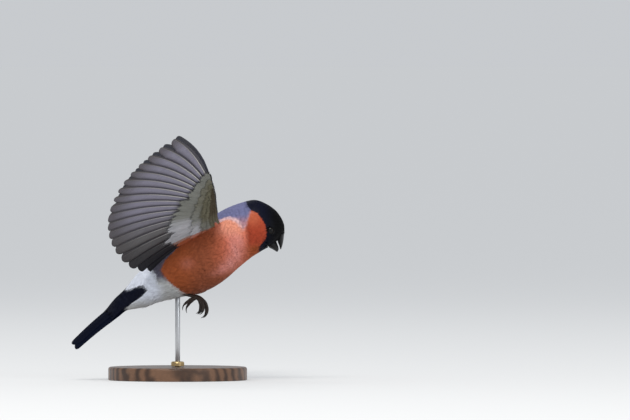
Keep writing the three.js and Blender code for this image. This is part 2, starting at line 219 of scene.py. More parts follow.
def makeCamera(s):
    data = bpy.data.cameras.new("camera")
    data.sensor_width = s["sensor"]
    data.lens = s["sensor"] * s["distance"] / s["frameWidth"]
    data.clip_start, data.clip_end = 0.1, 200.0
    rise = math.radians(s["elevation"])
    back = Vector((0, -math.cos(rise), math.sin(rise)))
    camera = addToScene("camera", data)
    camera.location = (Vector(s["target"]) + back * s["distance"]) * mm
    aimAlong(camera, -back)
    bpy.context.scene.camera = camera


makeCamera(cameraSettings)
bpy.context.scene.view_settings.view_transform = "Standard"


# Materials and their shared effects

def newGroup(name, inputs, outputs):
    group = bpy.data.node_groups.new(name, "ShaderNodeTree")
    for socket, kind, value in inputs:
        made = group.interface.new_socket(name=socket, in_out="INPUT", socket_type=kind)
        made.default_value = value
    for socket, kind in outputs:
        group.interface.new_socket(name=socket, in_out="OUTPUT", socket_type=kind)
    return group, group.nodes.new("NodeGroupInput").outputs, group.nodes.new("NodeGroupOutput").inputs


# Adds a node, sets its values and links its inputs. A key of inputs is a socket's name or number.
def addNode(tree, kind, inputs=None, **values):
    node = tree.nodes.new(kind)
    for key, value in values.items():
        setattr(node, key, value)
    for key, value in (inputs or {}).items():
        if isinstance(value, bpy.types.NodeSocket):
            tree.links.new(value, node.inputs[key])
        else:
            node.inputs[key].default_value = value
    return node


def maths(tree, operation, first, second=0.0, third=0.0):
    return addNode(tree, "ShaderNodeMath", {0: first, 1: second, 2: third}, operation=operation).outputs[0]


def shaded(tree, colour, shade):
    return addNode(tree, "ShaderNodeVectorMath", {0: colour, "Scale": shade}, operation="SCALE").outputs[0]


def addBump(tree, shader, height, strength, distance):
    relief = addNode(tree, "ShaderNodeBump", {"Height": height, "Strength": strength, "Distance": distance})
    tree.links.new(relief.outputs[0], shader.inputs["Normal"])


# Colour that runs from one stop to the next, each a position and a colour
def addRamp(tree, value, *stops):
    ramp = addNode(tree, "ShaderNodeValToRGB", {0: value})
    for element, (position, colour) in zip(ramp.color_ramp.elements, stops):
        element.position = position
        element.color = (*colour, 1)
    return ramp.outputs[0]


# Uneven tone in a coat: the colour is made darker and lighter by coarse and fine noise
def makeToneGroup():
    group, given, out = newGroup(
        "plumageTone",
        [("Color", "NodeSocketColor", (1, 1, 1, 1)), ("Scale", "NodeSocketFloat", 300.0),
         ("Depth", "NodeSocketFloat", 0.2)],
        [("Color", "NodeSocketColor"), ("Height", "NodeSocketFloat")],
    )
    where = addNode(group, "ShaderNodeTexCoord").outputs["Object"]
    coarse = addNode(group, "ShaderNodeTexNoise", {"Vector": where, "Scale": given["Scale"], "Detail": 2.0})
    fineScale = maths(group, "MULTIPLY", given["Scale"], 6.0)
    fine = addNode(group, "ShaderNodeTexNoise", {"Vector": where, "Scale": fineScale, "Detail": 3.0})
    both = maths(group, "ADD", coarse.outputs[0], fine.outputs[0])
    swing = maths(group, "MULTIPLY", maths(group, "SUBTRACT", both, 1.0), given["Depth"])
    tone = maths(group, "MULTIPLY_ADD", swing, 2.0, 1.0)
    group.links.new(shaded(group, given["Color"], tone), out["Color"])
    group.links.new(fine.outputs[0], out["Height"])
    return group


# Barbs of a vane: slanting lines that meet at the shaft, from the map "barbs" (mm along, mm across)
def makeBarbGroup():
    group, given, out = newGroup(
        "barbLines",
        [("Pitch", "NodeSocketFloat", 0.6), ("Slant", "NodeSocketFloat", 0.9)],
        [("Height", "NodeSocketFloat"), ("Shade", "NodeSocketFloat")],
    )
    where = addNode(group, "ShaderNodeUVMap", uv_map="barbs").outputs[0]
    split = addNode(group, "ShaderNodeSeparateXYZ", {0: where})
    across = maths(group, "ABSOLUTE", split.outputs[1])
    slanted = maths(group, "MULTIPLY", across, given["Slant"])
    along = maths(group, "SUBTRACT", split.outputs[0], slanted)
    wobble = addNode(group, "ShaderNodeTexNoise", {"Vector": where, "Scale": 0.7, "Detail": 1.0}).outputs[0]
    along = maths(group, "MULTIPLY_ADD", wobble, 1.2, along)
    turns = maths(group, "DIVIDE", along, given["Pitch"])
    wave = maths(group, "SINE", maths(group, "MULTIPLY", turns, 2 * math.pi))
    height = maths(group, "MULTIPLY_ADD", wave, 0.5, 0.5)
    lengthwise = addNode(group, "ShaderNodeCombineXYZ", {0: maths(group, "MULTIPLY", along, 1.3)}).outputs[0]
    streak = addNode(group, "ShaderNodeTexNoise", {"Vector": lengthwise, "Scale": 1.0})
    group.links.new(height, out["Height"])
    group.links.new(streak.outputs[0], out["Shade"])
    return group


# Fine cells and pits of horn and scaly skin
def makeGrainGroup():
    group, given, out = newGroup(
        "hornGrain",
        [("Scale", "NodeSocketFloat", 1500.0)],
        [("Height", "NodeSocketFloat"), ("Shade", "NodeSocketFloat")],
    )
    where = addNode(group, "ShaderNodeTexCoord").outputs["Object"]
    spread = {"Vector": where, "Scale": given["Scale"]}
    cells = addNode(group, "ShaderNodeTexVoronoi", spread, feature="SMOOTH_F1")
    pits = addNode(group, "ShaderNodeTexNoise", {**spread, "Detail": 4.0})
    height = maths(group, "ADD", cells.outputs[0], maths(group, "MULTIPLY", pits.outputs[0], 0.5))
    group.links.new(height, out["Height"])
    group.links.new(pits.outputs[0], out["Shade"])
    return group


toneGroup = makeToneGroup()
barbGroup = makeBarbGroup()
grainGroup = makeGrainGroup()


def newMaterial(name, roughness, specular=0.5, sheen=0.0, coat=0.0, metallic=0.0):
    material = bpy.data.materials.new(name)
    material.use_nodes = True
    tree = material.node_tree
    shader = tree.nodes["Principled BSDF"]
    shader.inputs["Roughness"].default_value = roughness
    shader.inputs["Specular IOR Level"].default_value = specular
    shader.inputs["Sheen Weight"].default_value = sheen
    shader.inputs["Sheen Roughness"].default_value = 0.4
    shader.inputs["Coat Weight"].default_value = coat
    shader.inputs["Metallic"].default_value = metallic
    return material, tree, shader


# Plumage takes its colour from the point colours, with uneven tone and a little fine bump
def plumageMaterial(name, roughness, specular, sheen, depth, barbs=False):
    material, tree, shader = newMaterial(name, roughness, specular, sheen)
    colour = addNode(tree, "ShaderNodeAttribute", attribute_name="plume").outputs["Color"]
    tone = addNode(tree, "ShaderNodeGroup", node_tree=toneGroup)
    tone.inputs["Scale"].default_value = 260.0
    tone.inputs["Depth"].default_value = depth
    tree.links.new(colour, tone.inputs["Color"])
    result, height, bump = tone.outputs["Color"], tone.outputs["Height"], 0.00005
    if barbs:
        lines = addNode(tree, "ShaderNodeGroup", node_tree=barbGroup)
        shade = maths(tree, "MULTIPLY_ADD", lines.outputs["Shade"], 0.7, 0.65)
        result, height, bump = shaded(tree, result, shade), lines.outputs["Height"], 0.00006
    tree.links.new(result, shader.inputs["Base Color"])
    addBump(tree, shader, height, 0.5, bump)
    return material


# Horn and scaly skin: one colour with grain in its shade and surface
def hornMaterial(name, colour, roughness, specular, scale, bump):
    material, tree, shader = newMaterial(name, roughness, specular)
    grain = addNode(tree, "ShaderNodeGroup", node_tree=grainGroup)
    grain.inputs["Scale"].default_value = scale
    shade = maths(tree, "MULTIPLY_ADD", grain.outputs["Shade"], 0.9, 0.55)
    tree.links.new(shaded(tree, colour, shade), shader.inputs["Base Color"])
    addBump(tree, shader, grain.outputs["Height"], 0.6, bump)
    return material


softPlumage = plumageMaterial("soft plumage", 0.9, 0.12, 0.12, 0.09)
glossyPlumage = plumageMaterial("glossy plumage", 0.42, 0.07, 0.0, 0.15)
vanePlumage = plumageMaterial("flight feather vane", 0.55, 0.15, 0.0, 0.10, barbs=True)
tailPlumage = plumageMaterial("tail feather vane", 0.5, 0.004, 0.0, 0.12, barbs=True)
skinMaterial = plumageMaterial("down and skin", 0.9, 0.1, 0.1, 0.2)
billHorn = hornMaterial("bill horn", (0.0075, 0.0075, 0.0085), 0.4, 0.22, 1200.0, 0.00004)
legSkin = hornMaterial("leg skin", (0.024, 0.015, 0.011), 0.5, 0.25, 1900.0, 0.00008)
clawHorn = hornMaterial("claw horn", (0.010, 0.008, 0.007), 0.36, 0.3, 1500.0, 0.00003)
lidSkin = hornMaterial("eyelid skin", (0.0035, 0.0035, 0.004), 0.6, 0.08, 2500.0, 0.00005)
print("materials ready")


# The bird's body as a surface: ovals from the bill root (place 0) to the end of the tail coverts (place 15)

bodyForm = {
    "sections": [  # back (x, z), underside (x, z), half width, roll of the oval in degrees
        ((64.6, 89.8), (56.1, 80.9), 5.2, 0),  # bill root
        ((64.3, 94.0), (56.05, 80.9), 6.8, 0),  # mask
        ((62.5, 98.3), (55.9, 80.8), 8.5, 0),  # forehead
        ((59.0, 102.8), (55.4, 80.6), 9.9, 0),  # eyes
        ((53.5, 106.6), (54.8, 80.3), 11.0, 0),  # crown
        ((46.8, 108.9), (53.0, 79.5), 12.0, 0),  # cheeks
        ((39.0, 107.4), (49.5, 77.5), 12.6, 0),  # neck
        ((29.5, 103.8), (43.8, 73.8), 14.6, 0),  # neck root
        ((20.5, 98.5), (36.5, 67.8), 16.6, 0),  # shoulders
        ((9.5, 91.5), (27.5, 60.0), 17.5, 0),  # breast
        ((-1.5, 83.5), (16.6, 53.9), 17.2, 0),  # belly
        ((-12.5, 74.5), (3.0, 51.0), 15.5, 0),  # thighs
        ((-23.5, 65.0), (-11.5, 47.7), 12.0, 3),  # vent
        ((-31.2, 55.7), (-22.0, 43.9), 8.5, 10),  # tail root
        ((-37.5, 48.6), (-32.6, 42.4), 8.4, 20),  # tail coverts
        ((-43.1, 39.0), (-42.0, 37.6), 8.2, 25),  # end of the tail coverts
    ],
    "groove": {"place": 6.4, "slant": 0.42, "depth": 0.5, "width": 0.42},
    "swell": {"behindGroove": 1.0, "height": 0.6, "width": 0.6},
}
lastPlace = len(bodyForm["sections"]) - 1.0
sectionLines = np.array([[*back, *under, width, roll] for back, under, width, roll in bodyForm["sections"]])


# Point of the body's outer surface. The turn goes from the back (0) over the bird's right side to the belly
# (pi). Point = middle + top * halfHeight * cos(turn) + side * halfWidth * sin(turn), rolled about the body's
# line. A shallow groove runs down behind the cheek, and the breast swells behind it.
def bodyPoint(place, turn):
    rows = throughPoints(sectionLines, place)
    groove, swell = bodyForm["groove"], bodyForm["swell"]
    behind = place - (groove["place"] - groove["slant"] * np.cos(turn))
    dent = (swell["height"] * np.exp(-((behind - swell["behindGroove"]) / swell["width"]) ** 2)
            - groove["depth"] * np.exp(-(behind / groove["width"]) ** 2))
    rows[..., 4] = rows[..., 4] + dent * np.sin(turn) ** 2
    middleX, middleZ = (rows[..., 0] + rows[..., 2]) / 2, (rows[..., 1] + rows[..., 3]) / 2
    riseX, riseZ = (rows[..., 0] - rows[..., 2]) / 2, (rows[..., 1] - rows[..., 3]) / 2
    halfHeight = np.hypot(riseX, riseZ)
    roll = np.radians(rows[..., 5])
    high, wide = halfHeight * np.cos(turn), rows[..., 4] * np.sin(turn)
    upward = (high * np.cos(roll) - wide * np.sin(roll)) / halfHeight
    sideways = high * np.sin(roll) + wide * np.cos(roll)
    return np.stack([middleX + riseX * upward, -sideways, middleZ + riseZ * upward], -1)


# Point, both steps along the surface and the outward normal, the steps by small differences
def surfaceFrame(surface, a, b, facing):
    step = 1e-3
    stepA = (surface(a + step, b) - surface(a - step, b)) / (2 * step)
    stepB = (surface(a, b + step) - surface(a, b - step)) / (2 * step)
    return surface(a, b), stepA, stepB, facing * unit(np.cross(stepA, stepB))


# How much a and b change for one millimetre along a direction that lies in the surface
def surfaceSteps(stepA, stepB, direction):
    aa, ab, bb = (stepA * stepA).sum(-1), (stepA * stepB).sum(-1), (stepB * stepB).sum(-1)
    da, db = (stepA * direction).sum(-1), (stepB * direction).sum(-1)
    scale = 1 / np.maximum(aa * bb - ab * ab, 1e-9)
    return scale * (bb * da - ab * db), scale * (aa * db - ab * da)


# Small contour feathers

bakePatch = 0.003  # size of one feather's patch on the map OFBake


# One feather for copying: a thin closed vane and loose barbs, each a thin spike, that reach past its edge.
# Its points are given as u (0 at the root, 1 at the tip), v (-1 to 1 across) and w (thickness, where 1 is
# the vane's own).
def featherShape(s):
    u = s["vaneEnd"] * np.linspace(0, 1, s["steps"] + 1) ** 0.9
    along = u / s["vaneEnd"]
    outline = s["vaneWidth"] * np.where(along < 0.55, mix(0.35, 1, np.sin(along / 0.55 * math.pi / 2)),
                                        np.sqrt(np.maximum(0.02, 1 - ((along - 0.55) / 0.46) ** 2)))
    rings = np.stack(np.broadcast_arrays(
        u[:, None], outline[:, None] * np.array([-1.0, 0.0, 1.0]), np.array([0.0, 1.0, 0.0])), -1)
    points, triangles, _ = loft(rings)
    points[-2:, 0] += (-0.03, 0.02)  # middles of the two ends stand out a little
    swing = mix(-1, 1, (np.arange(s["barbs"]) + 0.5) / s["barbs"])
    number = np.arange(s["barbs"])
    swing = swing * 0.98 + 0.04 * np.sin(5.1 * number)
    far = mix(0.62, 1.0, np.sqrt(1 - 0.96 * swing * swing)) + 0.05 * np.sin(2.7 * number + 1)
    start = np.stack([far - s["barbLength"], 0.35 * swing], -1)
    end = np.stack([far, 1.04 * swing], -1)
    ahead = unit(end - start)
    aside = np.stack([-ahead[:, 1], ahead[:, 0]], -1) * s["barbWidth"]
    height = 0.4 + 0.5 * (number * 0.618 % 1)
    spikes = np.stack([
        np.c_[start - aside, height], np.c_[start + aside, height],
        np.c_[start + ahead * 0.06, height + 0.8], np.c_[end, height * 0.5]], 1)
    corners = np.array([(0, 2, 1), (0, 1, 3), (1, 2, 3), (2, 0, 3)])
    tint = np.concatenate([np.full(len(points), 0.5), np.repeat(number * 0.618 % 1, 4)])
    spikeCorners = corners + 4 * number[:, None, None] + len(points)
    triangles = np.concatenate([triangles, spikeCorners.reshape(-1, 3)])
    u, v, w = np.concatenate([points, spikes.reshape(-1, 3)]).T
    return {"u": u, "v": v, "w": w, "triangles": triangles, "tint": tint}


# Lays feathers on a surface, following it. a and b are the roots' places, heading turns a feather from the
# way a grows, and its height is lift * u - sink * (1 - u) to a power, lower towards its edges.
# The map OFBake gives each feather a small patch at its root's place on the unrolled surface.
def layFeathers(surface, facing, shape, a, b, s, unroll):
    u, v, w = shape["u"][None], shape["v"][None], shape["w"][None]
    count = len(a)
    long, wide = (np.broadcast_to(s[key], count) for key in ("length", "width"))
    _, stepA, stepB, normal = surfaceFrame(surface, a, b, facing)
    ahead, heading = unit(stepA), s["heading"][:, None]
    towards = ahead * np.cos(heading) + np.cross(normal, ahead) * np.sin(heading)
    perA, perB = surfaceSteps(stepA, stepB, towards)
    _, stepA, stepB, normal = surfaceFrame(surface, a + perA * long * 0.5, b + perB * long * 0.5, facing)
    towards = unit(towards - normal * (towards * normal).sum(-1, keepdims=True))
    aside = np.cross(normal, towards)
    alongA, alongB = surfaceSteps(stepA, stepB, towards)
    asideA, asideB = surfaceSteps(stepA, stepB, aside)
    x, y = u * long[:, None], v * wide[:, None] / 2
    wholeA = a[:, None] + alongA[:, None] * x + asideA[:, None] * y
    wholeB = b[:, None] + alongB[:, None] * x + asideB[:, None] * y
    ground, _, _, normals = surfaceFrame(surface, wholeA, wholeB, facing)
    sink, lift = (np.broadcast_to(s[key], count)[:, None] for key in ("sink", "lift"))
    rise = lift * u - sink * np.clip(1 - u, 0, 1) ** s["rise"]
    height = rise - s["camber"] * wide[:, None] * v * v + w * s["thickness"]
    points = ground + normals * height[..., None]
    size = len(shape["u"])
    triangles = (shape["triangles"][None] + size * np.arange(count)[:, None, None]).reshape(-1, 3)
    flat = np.stack([np.clip(u - 0.5, -0.6, 0.6) + 0 * x, v / 2 + 0 * x], -1) * bakePatch + unroll[:, None]
    flat = flat.reshape(-1, 2)[triangles]
    return points.reshape(-1, 3), triangles, flat, normals.reshape(-1, 3), ground


# Colour of each point of laid feathers, darker at the root, with a tint for each barb. The array colours has
# one row for each feather, or one for each feather and point.
def featherColours(shape, colours, s):
    count = len(colours)
    colours = colours.reshape(count, -1, 3)
    u = shape["u"][None, :, None]
    shade = mix(s["rootShade"], 1, ease(0.1, 0.7, u)) * (1 + s["fringe"] * ease(0.75, 1.02, u))
    own = 1 + s["jitter"] * chance.standard_normal((count, 1, 1))
    barbTint = 1 + s["barbTint"] * (shape["tint"][None, :, None] - 0.5)
    return np.clip(colours * shade * own * barbTint, 0.002, 0.95).reshape(-1, 3)


# Markings of the coat, in the side view. A border is a line of (x, z) points, the same on both sides.

markings = {
    "capRear": [(49.2, 80.5), (51.1, 82.9), (52.6, 84.7), (53.6, 87.2), (53.9, 90.8), (52.9, 93.8),
                (51.1, 97.4), (48.4, 101.0), (44.6, 102.8), (42.4, 105.0), (41.4, 107.7), (41.2, 112.0)],
    "mantleUnder": [(-24.0, 62.9), (-4.0, 76.8), (2.0, 83.4), (18.0, 94.4), (25.7, 96.4), (28.7, 97.8),
                    (31.7, 98.3), (35.9, 96.7), (38.4, 94.0), (39.9, 91.0), (41.6, 94.0), (42.8, 98.0),
                    (44.2, 103.0)],
    "flankRear": [(10.0, 50.0), (2.7, 53.9), (-1.6, 56.9), (-5.8, 60.5), (-8.2, 63.6), (-10.0, 66.6),
                  (-8.8, 70.2), (-6.4, 73.8), (-3.4, 76.9), (0.2, 80.5), (3.9, 84.1), (9.0, 92.0)],
    "rumpFront": [(-11.0, 55.0), (-11.9, 58.7), (-13.1, 63.6), (-15.5, 67.8), (-17.5, 72.0)],
    "bloomLine": [(22.0, 62.0), (30.0, 68.0), (33.5, 72.6), (35.6, 76.3), (36.0, 83.5), (34.5, 88.0),
                  (30.0, 94.0)],
    "cheekRear": 42.6,  # x of the groove behind the cheek at the height cheekHeight
    "cheekHeight": 90,
    "cheekLean": 0.12,
    "stripLow": 58,  # the dark edge of the back reaches down to here
    "rimClear": 1.7647,  # between the pale rim and the cap
    "rimLow": 90,
    # black with a blue cast that is painted sheen of the crown
    "cap": (0.0045, 0.0058, 0.0165),
    "mask": (0.0030, 0.0030, 0.0036),
    "cheek": (0.42, 0.064, 0.029),
    "cheekTop": (0.54, 0.125, 0.060),
    # rose lightened by painted light from above, on the top of the breast
    "litBreastTop": (0.86, 0.34, 0.225),
    "breast": (0.71, 0.178, 0.098),
    "bloom": (0.80, 0.310, 0.262),  # pink along the front of the breast
    # rose darkened by painted shadow, under the wing's root
    "armpitShadow": (0.355, 0.088, 0.036),
    "throat": (0.34, 0.076, 0.022),
    "belly": (0.345, 0.096, 0.044),
    "flank": (0.45, 0.112, 0.038),
    "mantle": (0.180, 0.188, 0.345),
    "wedge": (0.50, 0.24, 0.25),  # point of the grey between breast and cheek
    # pale line along the border of the grey: a painted highlight
    "rim": (0.80, 0.52, 0.53),
    # dark grey of the back's lower edge, deepened by painted shadow of the wing
    "shadowedBackEdge": (0.125, 0.117, 0.158),
    "rump": (0.74, 0.78, 0.88),
    "vent": (0.53, 0.54, 0.54),
    "tailCovert": (0.0035, 0.0048, 0.0130),
}

# Soft patches. Each fade is a measure of the place, where the patch ends, and where it is full (mm).
patches = {
    "belly": [("x", 2, 16)],
    "breast": [("slanted z", 58, 96), ("x", 14, 32)],
    "lit side": [("z", 52, 76)],
    "bloom": [("z", 61, 70), ("z", 97, 92)],
    "litBreastTop": [("z", 84, 94), ("x", 21, 30), ("x", 42, 37.5)],
    "throat": [("x", 38, 47), ("z", 88, 80)],
    "cheekTop": [("z", 90, 99), ("x", 53, 47)],
    "cheek": [("behind groove", -2.1, 0.9), ("z", 79, 84)],
    "groove": [("z", 80, 86)],
    "rump": [("behind rump", -5, 3), ("z", 44, 52)],
    "strip": [("z", 58, 64)],
    "mantle front": [("x", 8, 18)],
    "mantle top": [("over mantle", 1.5, 7)],
    "wedge": [("x", 34, 38), ("z", 101, 94)],
    "rim": [("x", 23, 25)],
    "rim end": [("x", 36, 40.5)],
    "wide rim": [("x", 32, 39)],
    "mask": [("x", 50, 60)],
}
spots = {  # round patches: middle and spread in x, middle and spread in z
    "pale spot": (6, 4, 71, 3.5),
    # painted shadow under the wing's root
    "armpitShadow": (15, 9, 86, 6),
}
strengths = {"shade below": 0.71, "bloomSpread": 5.2, "pale spot": 0.25, "groove": 0.30, "grooveSpread": 1.2,
             "wedge": 0.85, "rim end": 0.75, "rimSpread": (1.0, 1.9)}
tailLine = {"root": (-26.6, 49.8), "along": (-0.782, -0.623), "roll": 25.0}
tailCovertEdge = {  # of the dark coverts over the tail: how far it lies above the tail's line, and its start
    "above": (1.8, -1.2), "aboveFade": (5, 12), "frontRise": 1.4, "frontFade": (-10, -2),
    "start": 0.9, "sideReach": 10.5, "halfWidth": 8.8, "bend": 1.3, "allDark": 12,
}


# x (or z) of a border at a given z (or x), straight between its points
def borderAt(points, value, by):
    points = np.array(points)
    return np.interp(value, points[:, by], points[:, 1 - by])


# Whether points lie in the dark coverts over the tail. Their place is taken along the tail's line, above it
# and sideways from it, after the tail's roll. The edge lies further forward at the sides.
def onTailCovert(x, y, z, s):
    across, height = x - tailLine["root"][0], z - tailLine["root"][1]
    alongX, alongZ = tailLine["along"]
    along = across * alongX + height * alongZ
    upright = across * alongZ - height * alongX
    roll = math.radians(tailLine["roll"])
    aboveTail = upright * math.cos(roll) - y * math.sin(roll)
    sideways = -y * math.cos(roll) - upright * math.sin(roll)
    front = 1 - ease(*s["frontFade"], along)
    least = mix(*s["above"], ease(*s["aboveFade"], along)) + s["frontRise"] * front
    outward = np.clip(np.abs(sideways) / s["halfWidth"], 0, 1)
    inPatch = (aboveTail > least) & (along > s["start"] - s["sideReach"] * outward ** s["bend"])
    return inPatch | (along > s["allDark"])


# Kind (0 cap, 1 rose, 2 grey, 3 white, 4 black covert) and colour of the coat at points of the surface.
# A patch's share is the product of its fades, and a spot's share is a bell curve in x and z.
def coatMarkings(points):
    x, y, z = points.T
    tone = arraysOf(markings)
    behindCap = borderAt(markings["capRear"], z, 1) - x
    inFlank = x - borderAt(markings["flankRear"], z, 1)
    lean = markings["cheekLean"] * (z - markings["cheekHeight"])
    measures = {
        "x": x,
        "z": z,
        "slanted z": z + 0.15 * x,
        "behind groove": x + lean - markings["cheekRear"],
        "over mantle": z - borderAt(markings["mantleUnder"], x, 0),
        "behind rump": borderAt(markings["rumpFront"], z, 1) - x,
    }

    def patch(name):
        share = 1.0
        for measure, empty, full in patches[name]:
            share = share * ease(empty, full, measures[measure])[:, None]
        return share

    def spot(name):
        middleX, spreadX, middleZ, spreadZ = spots[name]
        return np.exp(-((x - middleX) / spreadX) ** 2 - ((z - middleZ) / spreadZ) ** 2)[:, None]

    # The rose lightens from flank and belly up to the breast: partly the bird's own tone, partly painted
    # light from above and painted shade below.
    roseTone = mix(mix(tone["flank"], tone["belly"], patch("belly")), tone["breast"], patch("breast"))
    roseTone = roseTone * mix(strengths["shade below"], 1, patch("lit side"))
    front = (x - borderAt(markings["bloomLine"], z, 1)) / strengths["bloomSpread"]
    uneven = 0.85 + 0.15 * np.sin(x * 0.9 + z * 0.5)
    bloom = patch("bloom") * (np.exp(-front ** 2) * uneven)[:, None]
    bloom = bloom + strengths["pale spot"] * spot("pale spot")
    roseTone = mix(roseTone, tone["bloom"], bloom)
    # Painted shadow of the wing: the rose darkens under the wing's root.
    roseTone = mix(roseTone, tone["armpitShadow"], spot("armpitShadow"))
    # Painted light: the top of the breast is lighter where light from above falls on it.
    roseTone = mix(roseTone, tone["litBreastTop"], patch("litBreastTop"))
    roseTone = mix(roseTone, tone["throat"], patch("throat"))
    roseTone = mix(roseTone, mix(tone["cheek"], tone["cheekTop"], patch("cheekTop")), patch("cheek"))
    # Painted shade in the crease behind the cheek.
    groove = np.exp(-(measures["behind groove"] / strengths["grooveSpread"]) ** 2)[:, None] * patch("groove")
    roseTone = roseTone * (1 - strengths["groove"] * groove)

    rose = inFlank > 0
    colour = np.where(rose[:, None], roseTone, mix(tone["vent"], tone["rump"], patch("rump")))
    kind = np.where(rose, 1, 3)
    # A dark strip between rump and flank: grey deepened by painted shadow of the wing.
    strip = ~rose & (measures["behind rump"] <= 0) & (z > markings["stripLow"])
    colour[strip], kind[strip] = mix(tone["vent"], tone["shadowedBackEdge"], patch("strip"))[strip], 2

    overMantle = measures["over mantle"]
    grey = (overMantle > 0) & (measures["behind rump"] <= 0)
    # The grey darkens low at the rear, partly painted shadow of the wing.
    greyTone = mix(tone["shadowedBackEdge"], tone["mantle"], np.maximum(patch("mantle front"), patch("mantle top")))
    greyTone = mix(greyTone, tone["wedge"], strengths["wedge"] * patch("wedge"))
    colour[grey], kind[grey] = greyTone[grey], 2
    # Painted highlight: a pale line along the border between the grey and the rose, fading out towards the
    # front.
    rimWidth = mix(*strengths["rimSpread"], patch("wide rim"))
    rim = np.exp(-(overMantle[:, None] / rimWidth) ** 4) * patch("rim") * (
        1 - strengths["rim end"] * patch("rim end"))
    rimmed = (behindCap > markings["rimClear"]) & (z > markings["rimLow"])
    colour = mix(colour, tone["rim"], rim * rimmed[:, None])

    cap = behindCap < 0
    # The crown's blue cast is painted sheen; towards the bill the cap turns plain black.
    colour[cap], kind[cap] = mix(tone["cap"], tone["mask"], patch("mask"))[cap], 0
    covert = onTailCovert(x, y, z, tailCovertEdge)
    colour[covert], kind[covert] = tone["tailCovert"], 4
    return kind, colour


# The wings as surfaces. Rays run back from the arm's front edge and fan out to the wing's outline.

wingForm = {
    "shoulder": (24.4, 13.0, 95.6),
    "pitch": 34.0,  # of the chord, nose up
    "raise": 32.3,  # of the span
    "armEdge": [(-3, -1), (5, -2.2), (11, -3.7), (17, -5.2), (24, -6.9), (32, -8.5)],  # (out, back)
    "innerFeathers": 3.2,  # over this many the outline is drawn in at its inner end
    "featherBow": 3.4,  # of the outermost feathers, towards the wing tip
    "startAngle": 115.0,  # direction of the innermost and the outermost ray on the wing's outline
    "endAngle": -9.0,
    "outlineCentre": 30.0,
    "span": 81.0,
    "chord": 59.8,
    "fullness": 0.9,
    "innerDrop": 7.0,
    "arch": 0.05,
    "droop": 3.0,
    "reach": 110,  # from the shoulder to the tip
    "skinThick": 0.7,
    "muscle": (4.4, 2.1),  # of the arm at its inner and outer end
}
feathersPerWing = 18


def wingAxes(side):
    pitch, lift = math.radians(wingForm["pitch"]), math.radians(wingForm["raise"])
    back = np.array([-math.cos(pitch), 0, -math.sin(pitch)])
    above = np.array([-math.sin(pitch), 0, math.cos(pitch)])
    across = np.array([0, side, 0])
    out = across * math.cos(lift) + above * math.sin(lift)
    return out, back, above * math.cos(lift) - across * math.sin(lift)


def wingPlace(side, out, back, up):
    outAxis, backAxis, upAxis = wingAxes(side)
    shoulder = np.array(wingForm["shoulder"]) * (1, side, 1)
    return shoulder + out[..., None] * outAxis + back[..., None] * backAxis + up[..., None] * upAxis


# Start on the arm's front edge and end on the outline of the ray at share (0 innermost, 1 outermost), as
# (out, back). The outline is part of a full oval about (outlineCentre, 0), drawn in at its inner end.
def wingRay(share):
    share = np.asarray(share, float)
    edge = wingForm["armEdge"]
    start = throughPoints(edge, np.clip(share, 0, 1) * (len(edge) - 1), held=True)
    angle = np.radians(mix(wingForm["startAngle"], wingForm["endAngle"], share))
    inner = np.maximum(0, 1 - share * feathersPerWing / wingForm["innerFeathers"])
    reach = 1 - inner ** 1.5 * wingForm["innerDrop"] / wingForm["chord"]

    def fuller(value):
        return np.sign(value) * np.abs(value) ** wingForm["fullness"]

    tip = np.stack([
        wingForm["outlineCentre"] + wingForm["span"] * reach * fuller(np.cos(angle)),
        wingForm["chord"] * reach * fuller(np.sin(angle)),
    ], -1)
    return start, tip


# Place (out, back) at depth along the ray at share, with the ray's length and the direction square to it.
# Place = start + ray * depth + outward * bow * 4 * depth * (1 - depth)
def wingSpot(share, depth):
    start, tip = wingRay(share)
    ray = tip - start
    length = np.linalg.norm(ray, axis=-1)
    outward = np.stack([ray[..., 1], -ray[..., 0]], -1) / length[..., None]
    bow = wingForm["featherBow"] * ease(0.3, 1.0, share) * 4 * depth * (1 - depth)
    return start + ray * depth[..., None] + outward * bow[..., None], length, outward


# Height of the wing's middle layer: arched along each ray and drooping towards the wing tip
def wingHeight(out, depth, length):
    arched = wingForm["arch"] * length * 4 * depth * (1 - depth)
    return arched - wingForm["droop"] * (out / wingForm["reach"]) ** 2


# The wing's upper (face 1) or lower (face -1) surface: depth goes back along a ray and share goes out. It
# lies half a thickness off the middle layer: thickness = skin + muscle * 3.3 * depth^0.5 * (1 - depth)^2.4.
def wingSurface(side, face):
    def surface(depth, share):
        spot, length, _ = wingSpot(share, depth)
        bulge = 3.3 * np.sqrt(np.clip(depth, 0, 1)) * np.clip(1 - depth, 0, 1) ** 2.4
        thick = wingForm["skinThick"] + mix(*wingForm["muscle"], share) * bulge
        up = wingHeight(spot[..., 0], depth, length) + face * thick / 2
        return wingPlace(side, spot[..., 0], spot[..., 1], up)

    return surface


# The skin under the feathers: the body drawn in by the coat's depth, made one with arms, thighs and stump

coatDepth = {"places": (0, 2, 4, 6, 8, 12, 13, 15), "depths": (0.35, 0.7, 1.0, 1.7, 2.4, 2.2, 1.6, 0.6)}


def depthOf(place):
    return np.interp(place, coatDepth["places"], coatDepth["depths"])


skinSettings = {
    "places": (0.05, 14.6),
    "armRadius": (3.2, 2.1, 1.6, 1.5, 1.2, 0.9, 0.5),  # from the shoulder to the fingertip
    "armInset": 3.4,  # behind the leading edge
    "hip": (-1.5, 9.5, 63.0),
    "knee": (-4.6, 6.4, 53.0),
    "thighRadius": (4.2, 1.2),
    "voxel": 0.75,
    "smoothing": 6,
    "bodyWidth": 17.6,  # what lies further out is wing
    "darkFrom": -37,  # x where the tail's dark stump begins
    "shade": 0.7,
}


